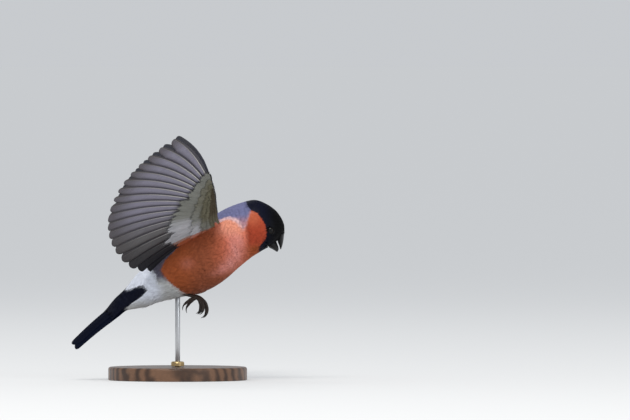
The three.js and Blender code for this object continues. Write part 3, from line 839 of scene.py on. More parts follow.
def makeSkin(s):
    turn = np.linspace(0, 2 * math.pi, 73)[:-1]
    places = np.linspace(*s["places"], 150)
    placeGrid, turnGrid = np.meshgrid(places, turn, indexing="ij")
    points, _, _, normals = surfaceFrame(bodyPoint, placeGrid, turnGrid, 1)
    parts = [loft(points - normals * depthOf(placeGrid)[..., None])[:2]]
    for side in (-1, 1):
        share = np.linspace(0.02, 0.98, 40)
        start, tip = wingRay(share)
        depth = s["armInset"] / np.linalg.norm(tip - start, axis=-1)
        spot, length, _ = wingSpot(share, depth)
        path = wingPlace(side, spot[:, 0], spot[:, 1], wingHeight(spot[:, 0], depth, length))
        radius = np.interp(share, np.linspace(0, 1, len(s["armRadius"])), s["armRadius"])
        parts.append(loft(tube(path, radius, 20, flat=0.8))[:2])
        hip, knee = (np.array(s[key]) * (1, side, 1) for key in ("hip", "knee"))
        drumstick = mix(hip, knee, np.linspace(0, 1, 16)[:, None])
        parts.append(loft(tube(drumstick, np.linspace(*s["thighRadius"], 16), 20, upHint=(1, 0, 0)))[:2])
    points, triangles = joined(parts)
    rough = makePiece("skin_rough", points, triangles, skinMaterial)
    remesh = rough.modifiers.new("one", "REMESH")
    remesh.mode, remesh.voxel_size = "VOXEL", s["voxel"] * mm
    soften = rough.modifiers.new("soft", "SMOOTH")
    soften.iterations = s["smoothing"]
    whole = bpy.data.meshes.new_from_object(rough.evaluated_get(bpy.context.evaluated_depsgraph_get()))
    bpy.data.objects.remove(rough)
    whole.name = "skin"
    whole.polygons.foreach_set("use_smooth", np.ones(len(whole.polygons), bool))
    places = np.empty(3 * len(whole.vertices), np.float32)
    whole.vertices.foreach_get("co", places)
    places = places.reshape(-1, 3) / mm
    _, colours = coatMarkings(places.astype(float))
    colours[np.abs(places[:, 1]) > s["bodyWidth"]] = markings["shadowedBackEdge"]
    colours[places[:, 0] < s["darkFrom"]] = markings["tailCovert"]
    paint(whole, colours * s["shade"])
    return addToScene("skin", whole)


skin = makeSkin(skinSettings)
place(skin, "rose_plumage", "head", "neck", "trunk", "tail", "wing_right_arm", "wing_right_hand",
      "wing_left_arm", "wing_left_hand")
print("skin:", len(skin.data.polygons), "faces")


# Contour feathers of head, neck, body and tail root, in rows round the body

eyeForm = {
    "x": 56.2, "z": 90.6, "outward": 7.9, "radius": 2.75,
    "bare": (2.2, 6),  # no feather roots within this distance in the side view, and further out than this
    "irisRadius": 2.2, "lidRadius": 2.05, "lidThick": 0.27, "lidOut": 2.02,
}

coat = {
    "places": (0, 1.5, 3, 4.5, 6, 7.5, 9, 12, 13.5, 15),
    "rowStep": (0.45, 0.48, 0.56, 0.66, 0.78, 0.88, 0.95, 1.00, 1.00, 1.3),
    "sideStep": (0.55, 0.58, 0.70, 0.85, 1.00, 1.15, 1.25, 1.30, 1.30, 1.6),
    "lengthShare": 6.4,  # of the row's step
    "widthShare": 2.3,  # of the step along the row
    "firstPlace": 0.02,
    "lastPlace": 14.3,
    "lift": 0.13,
    "rise": 3.2,
    "camber": 0.03,
    "thickness": 0.06,
    "wander": 0.35,
    "borderBlur": 0.35,  # how far a border follows whole feathers instead of their points
    "headingSpread": 0.08,
    "softness": 0.8,  # of the shading
    "tipShown": 0.62,  # share of a feather's length whose markings give its kind
    "leastStep": 0.8,  # mm per place, below which the body's folds leave no room for a feather
    "belly": {"places": (9.6, 12.2), "turn": 0.85, "lift": 0.9, "longer": 1.25},  # looser, over the legs
    "look": {"rootShade": 0.95, "fringe": 0.03, "jitter": 0.030, "barbTint": 0.14},
    "bristles": {"count": 110, "places": (0.25, 0.9), "turn": 2.3, "length": 2.3, "width": 1.0, "sink": 0.25,
                 "lift": 0.1, "camber": 0.03, "thickness": 0.05, "rise": 1.5},
}
contourFeather = featherShape({
    "steps": 3, "vaneEnd": 0.74, "vaneWidth": 0.70, "barbs": 13, "barbLength": 0.50, "barbWidth": 0.085})
faceFeather = featherShape({
    "steps": 3, "vaneEnd": 0.76, "vaneWidth": 0.75, "barbs": 8, "barbLength": 0.48, "barbWidth": 0.12})


# Roots in rows a row's step apart, each row spread evenly round the body and set off from its neighbours.
# Where the body's bend brings the rows closer together, only some of a row's feathers are kept.
def coatRoots(s):
    fine = np.linspace(s["firstPlace"], s["lastPlace"], 1500)
    middle = bodyPoint(fine, np.full(len(fine), math.pi / 2))
    top = bodyPoint(fine, np.zeros(len(fine)))
    travel = np.maximum(*(np.linalg.norm(np.gradient(line, axis=0), axis=1) for line in (middle, top)))
    rows = np.cumsum(travel / np.interp(fine, s["places"], s["rowStep"]))
    rowPlaces = np.interp(np.arange(rows[0], rows[-1]), rows, fine)
    around = np.linspace(0, 2 * math.pi, 121)
    placeList, turnList = [], []
    for number, at in enumerate(rowPlaces):
        ring = bodyPoint(np.full(121, at), around)
        run = np.r_[0, np.cumsum(np.linalg.norm(np.diff(ring, axis=0), axis=1))]
        count = max(8, int(run[-1] / np.interp(at, s["places"], s["sideStep"])))
        spots = (np.arange(count) + 0.5 * (number % 2) + 0.31) / count % 1
        placeList.append(np.full(count, at))
        turnList.append(np.interp(spots * run[-1], run, around))
    placeList, turnList = np.concatenate(placeList), np.concatenate(turnList)
    _, stepA, _, _ = surfaceFrame(bodyPoint, placeList, turnList, 1)
    step = np.interp(placeList, s["places"], s["rowStep"])
    rowGap = np.interp(placeList, rowPlaces[:-1], np.diff(rowPlaces)) * np.linalg.norm(stepA, axis=-1)
    keep = chance.random(len(placeList)) < np.clip(rowGap / step * 1.1, 0.3, 1)
    placeList, turnList = placeList[keep], turnList[keep]
    spacing = np.interp(placeList, s["places"], s["sideStep"])
    placeList = placeList + chance.normal(0, s["wander"], len(placeList)) * spacing / 6
    turnList = turnList + chance.normal(0, s["wander"], len(turnList)) * spacing / 12
    return placeList, turnList


# Lays one zone's feathers and makes them a piece
def makeZone(name, shape, material, slot, node, a, b, own, s):
    unroll = np.stack([0.03 + 0.94 * a / lastPlace, 0.03 + 0.94 * (b / (2 * math.pi) % 1)], -1)
    points, triangles, flat, normals, ground = layFeathers(bodyPoint, 1, shape, a, b, own, unroll)
    middle = ground[:, :1] + s["tipShown"] * (ground[:, np.argmax(shape["u"])][:, None] - ground[:, :1])
    marks = mix(ground, middle, s["borderBlur"]) + chance.normal(0, 0.12, (len(a), 1, 3))
    _, colours = coatMarkings(marks.reshape(-1, 3))
    colours = featherColours(shape, colours.reshape(len(a), -1, 3), s["look"])
    maps = {"OFBake": flat}
    piece = makePiece(name, points, triangles, material, colours, maps, lean=normals, softness=s["softness"])
    place(piece, slot, node)
    print(name, len(a), "feathers,", len(triangles), "triangles")


def makeCoat(s):
    a, b = coatRoots(s)
    length = s["lengthShare"] * np.interp(a, s["places"], s["rowStep"]) * chance.uniform(0.9, 1.12, len(a))
    width = s["widthShare"] * np.interp(a, s["places"], s["sideStep"]) * chance.uniform(0.92, 1.1, len(a))
    lift = s["lift"] * chance.uniform(0.6, 1.25, len(a)) * np.minimum(1, length / 5)
    loose = s["belly"]
    low = (a > loose["places"][0]) & (a < loose["places"][1]) & (np.abs(b - math.pi) < loose["turn"])
    lift = np.where(low, loose["lift"] * chance.uniform(0.3, 1.0, len(a)), lift)
    length = np.where(low, length * loose["longer"], length)
    point, stepA, _, _ = surfaceFrame(bodyPoint, a, b, 1)
    step = np.linalg.norm(stepA, axis=-1)
    kind, _ = coatMarkings(bodyPoint(a + s["tipShown"] * length / step, b))
    eyeGap = np.hypot(point[:, 0] - eyeForm["x"], point[:, 2] - eyeForm["z"])
    byEye = (eyeGap < eyeForm["bare"][0]) & (np.abs(point[:, 1]) > eyeForm["bare"][1])
    clear = ~byEye & (step > s["leastStep"])
    small, large = faceFeather, contourFeather
    zones = {  # kind of marking, places, feather, material, slot, node
        "mask_feathers": (0, (-1, 2.2), small, glossyPlumage, "cap_plumage", "head"),
        "cap_feathers": (0, (2.2, 16), small, glossyPlumage, "cap_plumage", "head"),
        "cheek_feathers": (1, (-1, 6.3), small, softPlumage, "rose_plumage", "neck"),
        "breast_feathers": (1, (6.3, 8.6), large, softPlumage, "rose_plumage", "trunk"),
        "belly_feathers": (1, (8.6, 16), large, softPlumage, "rose_plumage", "trunk"),
        "mantle_feathers": (2, (-1, 16), large, softPlumage, "rose_plumage", "trunk"),
        "rump_and_vent_feathers": (3, (-1, 16), large, softPlumage, "rose_plumage", "trunk"),
        "tail_covert_feathers": (4, (-1, 16), large, glossyPlumage, "tail_plumage", "tail"),
    }
    for name, (own, (first, last), shape, material, slot, node) in zones.items():
        chosen = (kind == own) & (a >= first) & (a < last) & clear
        settings = {
            "length": length[chosen], "width": width[chosen], "sink": depthOf(a[chosen]),
            "lift": lift[chosen], "heading": chance.normal(0, s["headingSpread"], chosen.sum()),
            "camber": s["camber"], "rise": s["rise"],
            "thickness": s["thickness"] * (0.7 if shape is small else 1),
        }
        makeZone(name, shape, material, slot, node, a[chosen], b[chosen], settings, s)
    # bristly feathers at the bill's root, which lie forward over the horn
    bristles = s["bristles"]
    count = bristles["count"]
    a = chance.uniform(*bristles["places"], count)
    share = (np.arange(count) + chance.uniform(0.2, 0.8, count)) / count
    b = mix(-bristles["turn"], bristles["turn"], share)
    settings = {**bristles, "heading": np.full(count, math.pi)}
    makeZone("bill_bristles", small, glossyPlumage, "cap_plumage", "head", a, b, settings, s)


makeCoat(coat)


# Large feathers with a vane on each side of a shaft

# One feather. The vane's point = line + lateral * x + up * (roll * x - cup * x * x / width + side of the
# thickness), where x goes from the inner web's edge to the outer web's. The shaft is a thin tube along the
# line. Gives points, triangles, colours, and the corners' places in the maps "barbs" and OFBake.
def largeFeather(line, lateral, up, s, cell):
    count = len(line)
    along = np.r_[0, np.cumsum(np.linalg.norm(np.diff(line, axis=0), axis=1))]
    length = along[-1]
    share = along / length
    fromTip = length - along
    columns = 11
    across = np.linspace(-1, 1, columns)
    rise = mix(s["rootWidth"], 1, ease(0.02, s["fullAt"], share))
    notch = 1 - s["emargination"] * ease(0.42, 0.58, share)
    narrowing = 1 - s["taper"] * ease(0.45, 1.0, share)
    saw = 1 + 0.018 * np.sin(along * 2 * math.pi / 1.7 + cell[0] * 40)

    def web(width, tipRound):
        turn = np.clip(1 - fromTip / (tipRound * width), 0, 1)
        return width * rise * narrowing * np.sqrt(np.maximum(1 - turn ** 2.2, 0.0004)) * saw

    outer = np.minimum(web(s["outer"], s["outerRound"]) * notch, s["outerRoom"])
    inner = np.minimum(web(s["inner"], s["innerRound"]), s["innerRoom"])
    x = np.where(across > 0, across * outer[:, None], across * inner[:, None])
    height = s["roll"] * x - s["cup"] * x * x / (s["outer"] + s["inner"])
    thick = s["thickness"] * np.sqrt(np.maximum(1 - across ** 2, 0)) / 2
    top = line[:, None] + lateral[:, None] * x[..., None] + up[:, None] * (height + thick)[..., None]
    under = line[:, None] + lateral[:, None] * x[..., None] + up[:, None] * (height - thick)[..., None]
    rings = np.concatenate([top, under[:, -2:0:-1]], 1)
    points, triangles, ringPlace = loft(rings)
    order = np.r_[np.arange(columns), np.arange(columns - 2, 0, -1)]
    ringX = np.r_[x[:, order].ravel(), 0, 0]
    ringC = np.r_[np.tile(across[order], count), 0, 0]
    ringU = np.r_[np.repeat(share, len(order)), -0.01, 1.01]
    isUnder = np.r_[np.tile(np.arange(len(order)) >= columns, count), False, False]
    edge = np.r_[np.tile(np.abs(across[order]) > 0.999, count), False, False]
    colours = s["colours"](ringU, ringC, isUnder, edge)
    barbs = np.stack([ringU * length, ringX], -1)[triangles]
    lower = np.repeat((ringPlace >= columns - 1)[:, None], 3, 1)
    cellX, cellY, cellWide, cellHigh = cell
    flatU = cellX + cellWide * mix(0.03, 0.97, ringU[triangles])
    flatV = cellY + cellHigh * (mix(0.03, 0.41, (ringC[triangles] + 1) / 2) + 0.43 * lower)
    flat = np.stack([flatU, flatV], -1)

    shaftRadius = mix(s["shaft"], s["shaft"] * 0.22, share ** 0.8)
    shaftLine = line + up * (height[:, columns // 2])[:, None]
    shaftRings = tube(shaftLine, shaftRadius, 8, upHint=up[0])
    rows = int(count * 0.97)
    shaftPoints, shaftTriangles, _ = loft(shaftRings[:rows])
    turn = np.r_[np.tile(np.arange(8), rows) / 8, 0.5, 0.5]
    shaftU = np.r_[np.repeat(share[:rows], 8), -0.01, share[rows - 1] + 0.01]
    below = np.cos(turn * 2 * math.pi) < 0
    shaftUnder = s["shaftUnder"] * (1 - 0.6 * ease(0.3, 1, shaftU))[:, None]  # darker towards the tip
    shaftColours = np.where(below[:, None], shaftUnder, s["shaftTop"])
    cornerTurn = turn[shaftTriangles]
    overSeam = np.ptp(cornerTurn, axis=1, keepdims=True) > 0.5
    cornerTurn = np.where(overSeam & (cornerTurn < 0.5), cornerTurn + 1, cornerTurn)
    shaftFlat = np.stack([cellX + cellWide * mix(0.03, 0.97, shaftU[shaftTriangles]),
                          cellY + cellHigh * mix(0.88, 0.97, cornerTurn)], -1)
    shaftBarbs = np.stack([shaftU * length, 0 * shaftU], -1)[shaftTriangles]
    return joined([
        (points, triangles, colours, barbs, flat),
        (shaftPoints, shaftTriangles, shaftColours, shaftBarbs, shaftFlat),
    ])


# Divides the unit square into cells, each for one feather
def featherCell(number, columns, rows):
    gap = 0.004
    column, row = number % columns, number // columns
    return (column / columns + gap, row / rows + gap, 1 / columns - 2 * gap, 1 / rows - 2 * gap)


flight = {
    "rows": 64,
    "rootDepth": 0.07,  # share of the ray where the shaft leaves the arm
    "thickness": 0.14,
    "roll": 0.080,  # lays each feather over the next, more steeply near the body
    "innerRoll": 0.150,
    "cup": 0.10,
    "shaft": 0.46,
    # pairs: for the inner and for the outer feathers
    "shaftShare": (0.85, 1.1),
    "outer": (5.6, 4.2),
    "inner": (8.2, 8.4),
    "taper": (0.15, 0.50),
    "outerRound": (1.0, 2.0),
    "innerRound": (0.85, 1.25),
    "notched": (13, 14, 15, 16),  # feathers whose outer web narrows towards the tip, by emargination
    "emargination": 0.40,
    "top": (0.013, 0.014, 0.024),
    "topEdge": (0.030, 0.032, 0.045),
    "primaryWeb": (0.226, 0.216, 0.275),  # these are seen from below
    "secondaryWeb": (0.128, 0.124, 0.127),
    "tertialWeb": (0.013, 0.013, 0.017),
    "outerWeb": (0.070, 0.067, 0.080),
    "tip": (0.074, 0.067, 0.068),
    "shaftUnder": (0.46, 0.44, 0.42),
    "shaftTop": (0.018, 0.016, 0.016),
}


def flightColours(s, number):
    tone = arraysOf(s)
    inner = mix(tone["secondaryWeb"], tone["primaryWeb"], ease(3.8, 7.8, number))
    tertial = 0.95 * (1 - ease(0.8, 4.4, number))

    def colours(u, across, isUnder, edge):
        # The inner web darkens towards its edge: painted shade where the webs overlap.
        under = inner * (1 - 0.45 * ease(-0.45, -1.0, across)[:, None])
        under = mix(under, tone["outerWeb"], ease(-0.02, 0.12, across)[:, None])
        under = mix(under, tone["tip"], (0.75 * ease(0.68, 0.98, u))[:, None])
        under = mix(under, tone["tertialWeb"], tertial)
        above = mix(tone["top"], tone["topEdge"], ease(0.8, 1.0, np.abs(across))[:, None])
        return np.where((isUnder | edge)[:, None], under, above)

    return colours


# One flight feather along its ray. Its inner web ends just short of its neighbour's shaft, which shows from
# below.
def flightFeather(side, number, s, cell):
    share, step = (number + 0.5) / feathersPerWing, 1 / feathersPerWing
    depth = mix(s["rootDepth"], 1.0, 1 - (1 - np.linspace(0, 1, s["rows"])) ** 1.5)
    spot, length, outward = wingSpot(share, depth)
    apart = [wingSpot(share + move, depth)[0] - spot for move in (-step, step)]
    nearGap, farGap = (np.abs((gap * outward).sum(-1)) for gap in apart)
    line = wingPlace(side, spot[:, 0], spot[:, 1], wingHeight(spot[:, 0], depth, length))
    outAxis, backAxis, upAxis = wingAxes(side)
    lateral = np.tile(outward[0] * outAxis + outward[1] * backAxis, (s["rows"], 1))
    primary = ease(8.0, 10.0, number)
    outermost = number == feathersPerWing - 1
    tertial = 1 - ease(1.5, 3.5, number)
    own = {
        "innerRoom": np.maximum(0.6, nearGap * 0.85 - 0.5), "outerRoom": farGap * 0.62 + 0.2,
        "rootWidth": 0.3, "fullAt": 0.34, "thickness": s["thickness"],
        "roll": mix(s["innerRoll"], s["roll"], ease(1.0, 5.0, number)), "cup": s["cup"],
        "shaft": s["shaft"] * mix(*s["shaftShare"], primary),
        "outer": mix(*s["outer"], primary) * (0.5 if outermost else 1),
        "inner": mix(*s["inner"], primary), "taper": mix(*s["taper"], primary),
        "outerRound": mix(*s["outerRound"], primary), "innerRound": mix(*s["innerRound"], primary),
        "emargination": s["emargination"] if number in s["notched"] else 0.0,
        "shaftUnder": mix(np.array(s["shaftUnder"]), np.array(s["tertialWeb"]), 0.9 * tertial),
        "shaftTop": np.array(s["shaftTop"]),
        "colours": flightColours(s, number),
    }
    return largeFeather(line, lateral, np.tile(upAxis, (s["rows"], 1)), own, cell)


alula = {
    "lengths": (13.5, 11.0, 8.5),
    "root": 17.5,  # mm out along the arm
    "behind": 0.7,
    "apart": 1.1,
    "height": (1.7, 1.2),
    "rows": 24,
}


# One of the short feathers on the wing's thumb, which lie over the front edge beyond the wrist
def alulaFeather(side, number, s, cell):
    out = s["root"] - 0.8 * number + np.linspace(0, s["lengths"][number], s["rows"])
    edgeOut, edgeBack = np.array(wingForm["armEdge"]).T
    back = np.interp(out, edgeOut, edgeBack) + s["behind"] + s["apart"] * number
    height = np.linspace(*s["height"], s["rows"]) - 0.2 * number
    outAxis, backAxis, upAxis = wingAxes(side)
    own = {
        "innerRoom": 9.0, "outerRoom": 9.0, "rootWidth": 0.5, "fullAt": 0.4, "thickness": 0.12, "roll": 0.03,
        "cup": 0.1, "shaft": 0.26, "outer": 0.9, "inner": 2.3, "taper": 0.3, "outerRound": 2.0,
        "innerRound": 1.4, "emargination": 0.0, "shaftUnder": np.array(flight["top"]),
        "shaftTop": np.array(flight["shaftTop"]), "colours": flightColours(flight, 0),
    }
    line = wingPlace(side, out, back, height)
    return largeFeather(line, np.tile(-backAxis, (s["rows"], 1)), np.tile(upAxis, (s["rows"], 1)), own, cell)


sides = {"right": -1, "left": 1}
for sideName, side in sides.items():
    made = [flightFeather(side, k, flight, featherCell(k, 3, 7)) for k in range(feathersPerWing)]
    made += [alulaFeather(side, k, alula, featherCell(feathersPerWing + k, 3, 7)) for k in range(3)]
    points, triangles, colours, barbs, flat = joined(made)
    piece = makePiece(f"flight_feathers_{sideName}", points, triangles, vanePlumage, colours,
                      {"barbs": barbs, "OFBake": flat})
    place(piece, "wing_plumage", f"wing_{sideName}_arm", f"wing_{sideName}_hand")
print("flight feathers:", 2 * len(triangles), "triangles")


# Wing coverts, in rows that lie back over the flight feathers' roots

covertRows = {
    # face, mm behind the front edge, feathers in the row, length at the row's inner and outer end, width
    "under greater": (-1, 9.0, 30, 33.0, 12.0, 5.4),
    "under median": (-1, 6.2, 34, 16.0, 9.0, 4.4),
    "under lesser 2": (-1, 4.4, 38, 11.0, 7.0, 3.6),
    "under lesser 1": (-1, 3.0, 42, 8.0, 5.6, 3.1),
    "under marginal 3": (-1, 1.9, 46, 5.6, 4.4, 2.6),
    "under marginal 2": (-1, 1.0, 50, 4.3, 3.5, 2.2),
    "under marginal 1": (-1, 0.3, 54, 3.2, 2.6, 1.9),
    "upper greater": (1, 8.5, 20, 20.0, 12.0, 7.6),
    "upper median": (1, 5.6, 26, 11.5, 7.6, 5.6),
    "upper lesser 3": (1, 4.0, 34, 7.8, 5.8, 4.2),
    "upper lesser 2": (1, 2.7, 40, 6.2, 4.8, 3.4),
    "upper lesser 1": (1, 1.7, 46, 4.9, 3.9, 2.8),
    "upper marginal 2": (1, 0.9, 50, 3.9, 3.2, 2.3),
    "upper marginal 1": (1, 0.25, 54, 3.0, 2.5, 1.9),
}
covertSettings = {
    "ends": (0.015, 0.965),  # share of the wing where the rows begin and end
    "wander": 0.10,  # of a root's place behind the edge
    "look": {"rootShade": 0.85, "fringe": 0.08, "jitter": 0.05, "barbTint": 0.2},
    "underPale": (0.188, 0.190, 0.170),
    "underWhite": (0.400, 0.400, 0.425),
    "underOlive": (0.135, 0.125, 0.084),
    "underEdge": (0.072, 0.056, 0.036),
    "upperGrey": (0.185, 0.192, 0.330),
    "upperBlack": (0.012, 0.013, 0.020),
    "upperBar": (0.60, 0.60, 0.66),
}
greaterCovert = featherShape({
    "steps": 6, "vaneEnd": 0.90, "vaneWidth": 0.90, "barbs": 16, "barbLength": 0.40, "barbWidth": 0.05})


# Colour of a covert by its row and its share of the wing
def covertColour(rowName, share, s):
    tone = arraysOf(s)
    share = share[:, None]
    if rowName.startswith("under"):
        if rowName == "under greater":
            white = ease(0.06, 0.12, share) * (1 - ease(0.24, 0.36, share))
            grey = mix(tone["underPale"], tone["underWhite"], white)
        elif rowName == "under median":
            grey = mix(tone["underWhite"], tone["underPale"], ease(0.12, 0.3, share))
            grey = mix(grey, tone["underOlive"], 0.7 * ease(0.3, 0.6, share))
        elif rowName.startswith("under lesser"):
            grey = mix(tone["underPale"], tone["underOlive"], ease(0.1, 0.3, share))
        else:
            grey = mix(tone["underOlive"], tone["underEdge"], ease(0.1, 0.45, share))
        # The under coverts nearest the body take the rose of the painted shadow under the wing.
        return mix(np.array(markings["armpitShadow"]), grey, ease(0.055, 0.100, share))
    if rowName == "upper greater":
        return tone["upperBlack"] + 0 * share
    if rowName == "upper median" or rowName.startswith("upper lesser"):
        return mix(tone["upperGrey"], tone["upperBlack"], ease(0.46, 0.56, share))
    return mix(tone["upperGrey"], tone["upperBlack"], mix(0.7, 0.9, share))


def makeCoverts(sideName, side, face, s):
    parts = []
    surface = wingSurface(side, face)
    for rowName, (rowFace, behind, count, longIn, longOut, wide) in covertRows.items():
        if rowFace != face:
            continue
        shape = greaterCovert if behind > 5 else contourFeather
        share = np.linspace(*s["ends"], count) + chance.normal(0, 0.12 / count, count)
        start, tip = wingRay(share)
        behind = behind * (1 + chance.normal(0, s["wander"], count))
        depth = behind / np.linalg.norm(tip - start, axis=-1)
        length = mix(longIn, longOut, share ** 0.8) * chance.uniform(0.9, 1.06, count)
        if rowName == "under greater":
            length = length * mix(0.72, 1, ease(0.06, 0.17, share))
        own = {
            "length": length, "width": wide * mix(1.05, 0.8, share) * chance.uniform(0.92, 1.08, count),
            "sink": np.minimum(1.0, length / 9),
            "lift": 0.16 * chance.uniform(0.3, 1.3, count), "heading": chance.normal(0, 0.05, count),
            "camber": 0.045, "thickness": 0.07, "rise": 2.2,
        }
        unroll = np.stack([0.03 + 0.94 * np.clip(share, 0, 1), 0.03 + 0.9 * depth], -1)
        facing = -side * face
        points, triangles, flat, normals, _ = layFeathers(surface, facing, shape, depth, share, own, unroll)
        colours = featherColours(shape, covertColour(rowName, share, s), s["look"])
        if rowName == "upper greater":
            tipShare = ease(0.66, 0.74, np.tile(shape["u"], count))
            onBar = np.repeat(1 - ease(0.5, 0.56, share), len(shape["u"]))
            colours = mix(colours, np.array(s["upperBar"]), (tipShare * onBar)[:, None])
        parts.append((points, triangles, colours, flat, normals))
    points, triangles, colours, flat, normals = joined(parts)
    faceName = "upper" if face > 0 else "under"
    piece = makePiece(f"{faceName}_coverts_{sideName}", points, triangles, softPlumage, colours,
                      {"OFBake": flat}, lean=normals)
    place(piece, "wing_plumage", f"wing_{sideName}_arm", f"wing_{sideName}_hand")
    print(f"{faceName} coverts {sideName}:", len(triangles), "triangles")


for sideName, side in sides.items():
    for face in (-1, 1):
        makeCoverts(sideName, side, face, covertSettings)


# Tail: twelve feathers in a closed stack, rolled about its own line, the middle pair on top

tailForm = {
    "tip": (-63.6, 20.3),
    "halfWidths": (8.4, 9.6, 7.4),  # at the root, at 0.4 of the length, at the tip
    "arch": 1.3,
    "notch": 3.6,
    "inner": 4.6,
    "outer": (4.2, 2.6),  # outer web of the middle and of the outermost feathers
    "stack": (0.42, -0.42),  # their height in the stack
    "pairs": 6,
    "rows": 56,
    "topColour": (0.0038, 0.0052, 0.0125),
    "underColour": (0.016, 0.017, 0.023),
}


def tailFeather(side, pair, s, cell):
    root, tip = np.array(tailLine["root"]), np.array(s["tip"])
    ray = tip - root
    length = np.linalg.norm(ray)
    along = ray / length
    straightUp = np.array([along[1], 0, -along[0]])
    roll = math.radians(tailLine["roll"])
    right = np.array([0, -1.0, 0])
    up = straightUp * math.cos(roll) + right * math.sin(roll)
    aside = right * math.cos(roll) - straightUp * math.sin(roll)
    spread = (pair + 0.25) / s["pairs"]
    depth = mix(0.02, 1.0, 1 - (1 - np.linspace(0, 1, s["rows"])) ** 1.5)
    short = s["notch"] * (1 - spread) ** 1.3 + 1.2 * max(0.0, spread - 0.75) ** 2 * 16
    far = depth * (length - short)
    halfWidth = np.interp(depth, (0, 0.4, 1), s["halfWidths"])
    outer = mix(*s["outer"], spread)
    offset = side * (spread * (halfWidth - outer) + 0.25)
    arch = s["arch"] * np.sin(depth * math.pi)
    stack = mix(*s["stack"], spread) - 0.04 * side
    base = np.array([root[0], 0, root[1]])
    line = (base + np.outer(far, [along[0], 0, along[1]]) + np.outer(offset, aside)
            + np.outer(arch + stack * ease(0, 0.2, depth), up))
    top, under = np.array(s["topColour"]), np.array(s["underColour"])

    def colours(u, across, isUnder, edge):
        above = top * (1 + 0.8 * ease(0.7, 1.0, np.abs(across)))[:, None]
        return np.where(isUnder[:, None], under, above)

    own = {
        "rootWidth": 0.55, "fullAt": 0.3, "thickness": 0.13, "roll": -0.028, "cup": 0.05, "shaft": 0.36,
        "outer": outer, "inner": s["inner"], "outerRound": 1.0, "innerRound": 0.75, "taper": 0.0,
        "emargination": 0.0, "shaftUnder": np.array((0.05, 0.048, 0.05)), "shaftTop": top,
        "colours": colours, "innerRoom": 99.0, "outerRoom": 99.0,
    }
    rows = s["rows"]
    return largeFeather(line, np.tile(aside * side, (rows, 1)), np.tile(up, (rows, 1)), own, cell)


made = [tailFeather(side, pair, tailForm, featherCell(pair + 6 * (side > 0), 2, 6))
        for side in (-1, 1) for pair in range(tailForm["pairs"])]
points, triangles, colours, barbs, flat = joined(made)
piece = makePiece("tail_feathers", points, triangles, tailPlumage, colours, {"barbs": barbs, "OFBake": flat})
place(piece, "tail_plumage", "tail")
print("tail feathers:", len(triangles), "triangles")


# Bill: two curved halves of horn, each a stack of rounded sections from root to point

billForm = {
    # outer edge (x, z), inner edge (x, z), half width. Each half's first section is tucked into the face.
    "upper": [
        ((63.3, 91.4), (58.6, 87.2), 4.2),
        ((64.2, 89.2), (60.4, 84.9), 4.3),
        ((64.1, 86.6), (60.6, 83.4), 3.8),
        ((63.8, 84.0), (61.2, 82.0), 2.8),
        ((63.3, 81.5), (61.7, 80.6), 1.5),
        ((62.6, 79.2), (62.1, 79.1), 0.35),
    ],
    "lower": [
        ((58.3, 86.6), (54.4, 82.9), 3.8),
        ((59.6, 84.1), (55.5, 80.5), 4.1),
        ((60.3, 82.3), (57.1, 79.5), 3.7),
        ((60.9, 80.6), (58.6, 78.6), 2.6),
        ((61.1, 79.1), (59.6, 77.9), 1.4),
        ((60.7, 77.9), (60.2, 77.6), 0.35),
    ],
    "rows": 40,
    "sides": 40,
    "ridge": 0.10,  # how far the keel stands out from the oval
}


# Ring point = middle + rise * cos(turn) * (1 + ridge at the outer keel) + halfWidth * sin(turn)
def billHalf(name, sections, keelTurn, s):
    rows = np.array([[*outer, *inner, width] for outer, inner, width in sections])
    share = np.linspace(0, 1, s["rows"])
    line = throughPoints(rows, (len(sections) - 1) * share)[:, None]
    turn = np.arange(s["sides"]) * 2 * math.pi / s["sides"]
    middle, rise = (line[..., :2] + line[..., 2:4]) / 2, (line[..., :2] - line[..., 2:4]) / 2
    keel = 1 + s["ridge"] * np.clip(np.cos(turn - keelTurn), 0, 1) ** 10
    bulge = 1 + 0.05 * np.abs(np.sin(turn)) * np.sin(math.pi * np.clip(share * 1.6, 0, 1))[:, None]
    high = np.cos(turn) * keel
    rings = np.stack([
        middle[..., 0] + rise[..., 0] * high,
        -line[..., 4] * np.sin(turn) * bulge,
        middle[..., 1] + rise[..., 1] * high,
    ], -1)
    points, triangles, _ = loft(rings)
    return makePiece(name, points, triangles, billHorn)


place(billHalf("bill_upper_horn", billForm["upper"], 0.0, billForm), "bill", "bill_upper")
place(billHalf("bill_lower_horn", billForm["lower"], math.pi, billForm), "bill", "bill_lower")


# Eyes: a polished ball in a ring of bare lid

def makeEyeMaterial():
    material, tree, shader = newMaterial("eye", 0.05, 0.20)
    where = addNode(tree, "ShaderNodeTexCoord").outputs["Object"]
    apart = addNode(tree, "ShaderNodeSeparateXYZ", {0: where})
    across = maths(tree, "SUBTRACT", apart.outputs[0], eyeForm["x"] * mm)
    upward = maths(tree, "SUBTRACT", apart.outputs[2], eyeForm["z"] * mm)
    gap = maths(tree, "SQRT", maths(tree, "ADD", maths(tree, "POWER", across, 2.0),
                                    maths(tree, "POWER", upward, 2.0)))
    fromPupil = maths(tree, "DIVIDE", gap, eyeForm["irisRadius"] * mm)
    colour = addRamp(tree, fromPupil, (0.55, (0.003, 0.003, 0.003)), (0.66, (0.009, 0.005, 0.004)))
    tree.links.new(colour, shader.inputs["Base Color"])
    return material


eyeMaterial = makeEyeMaterial()


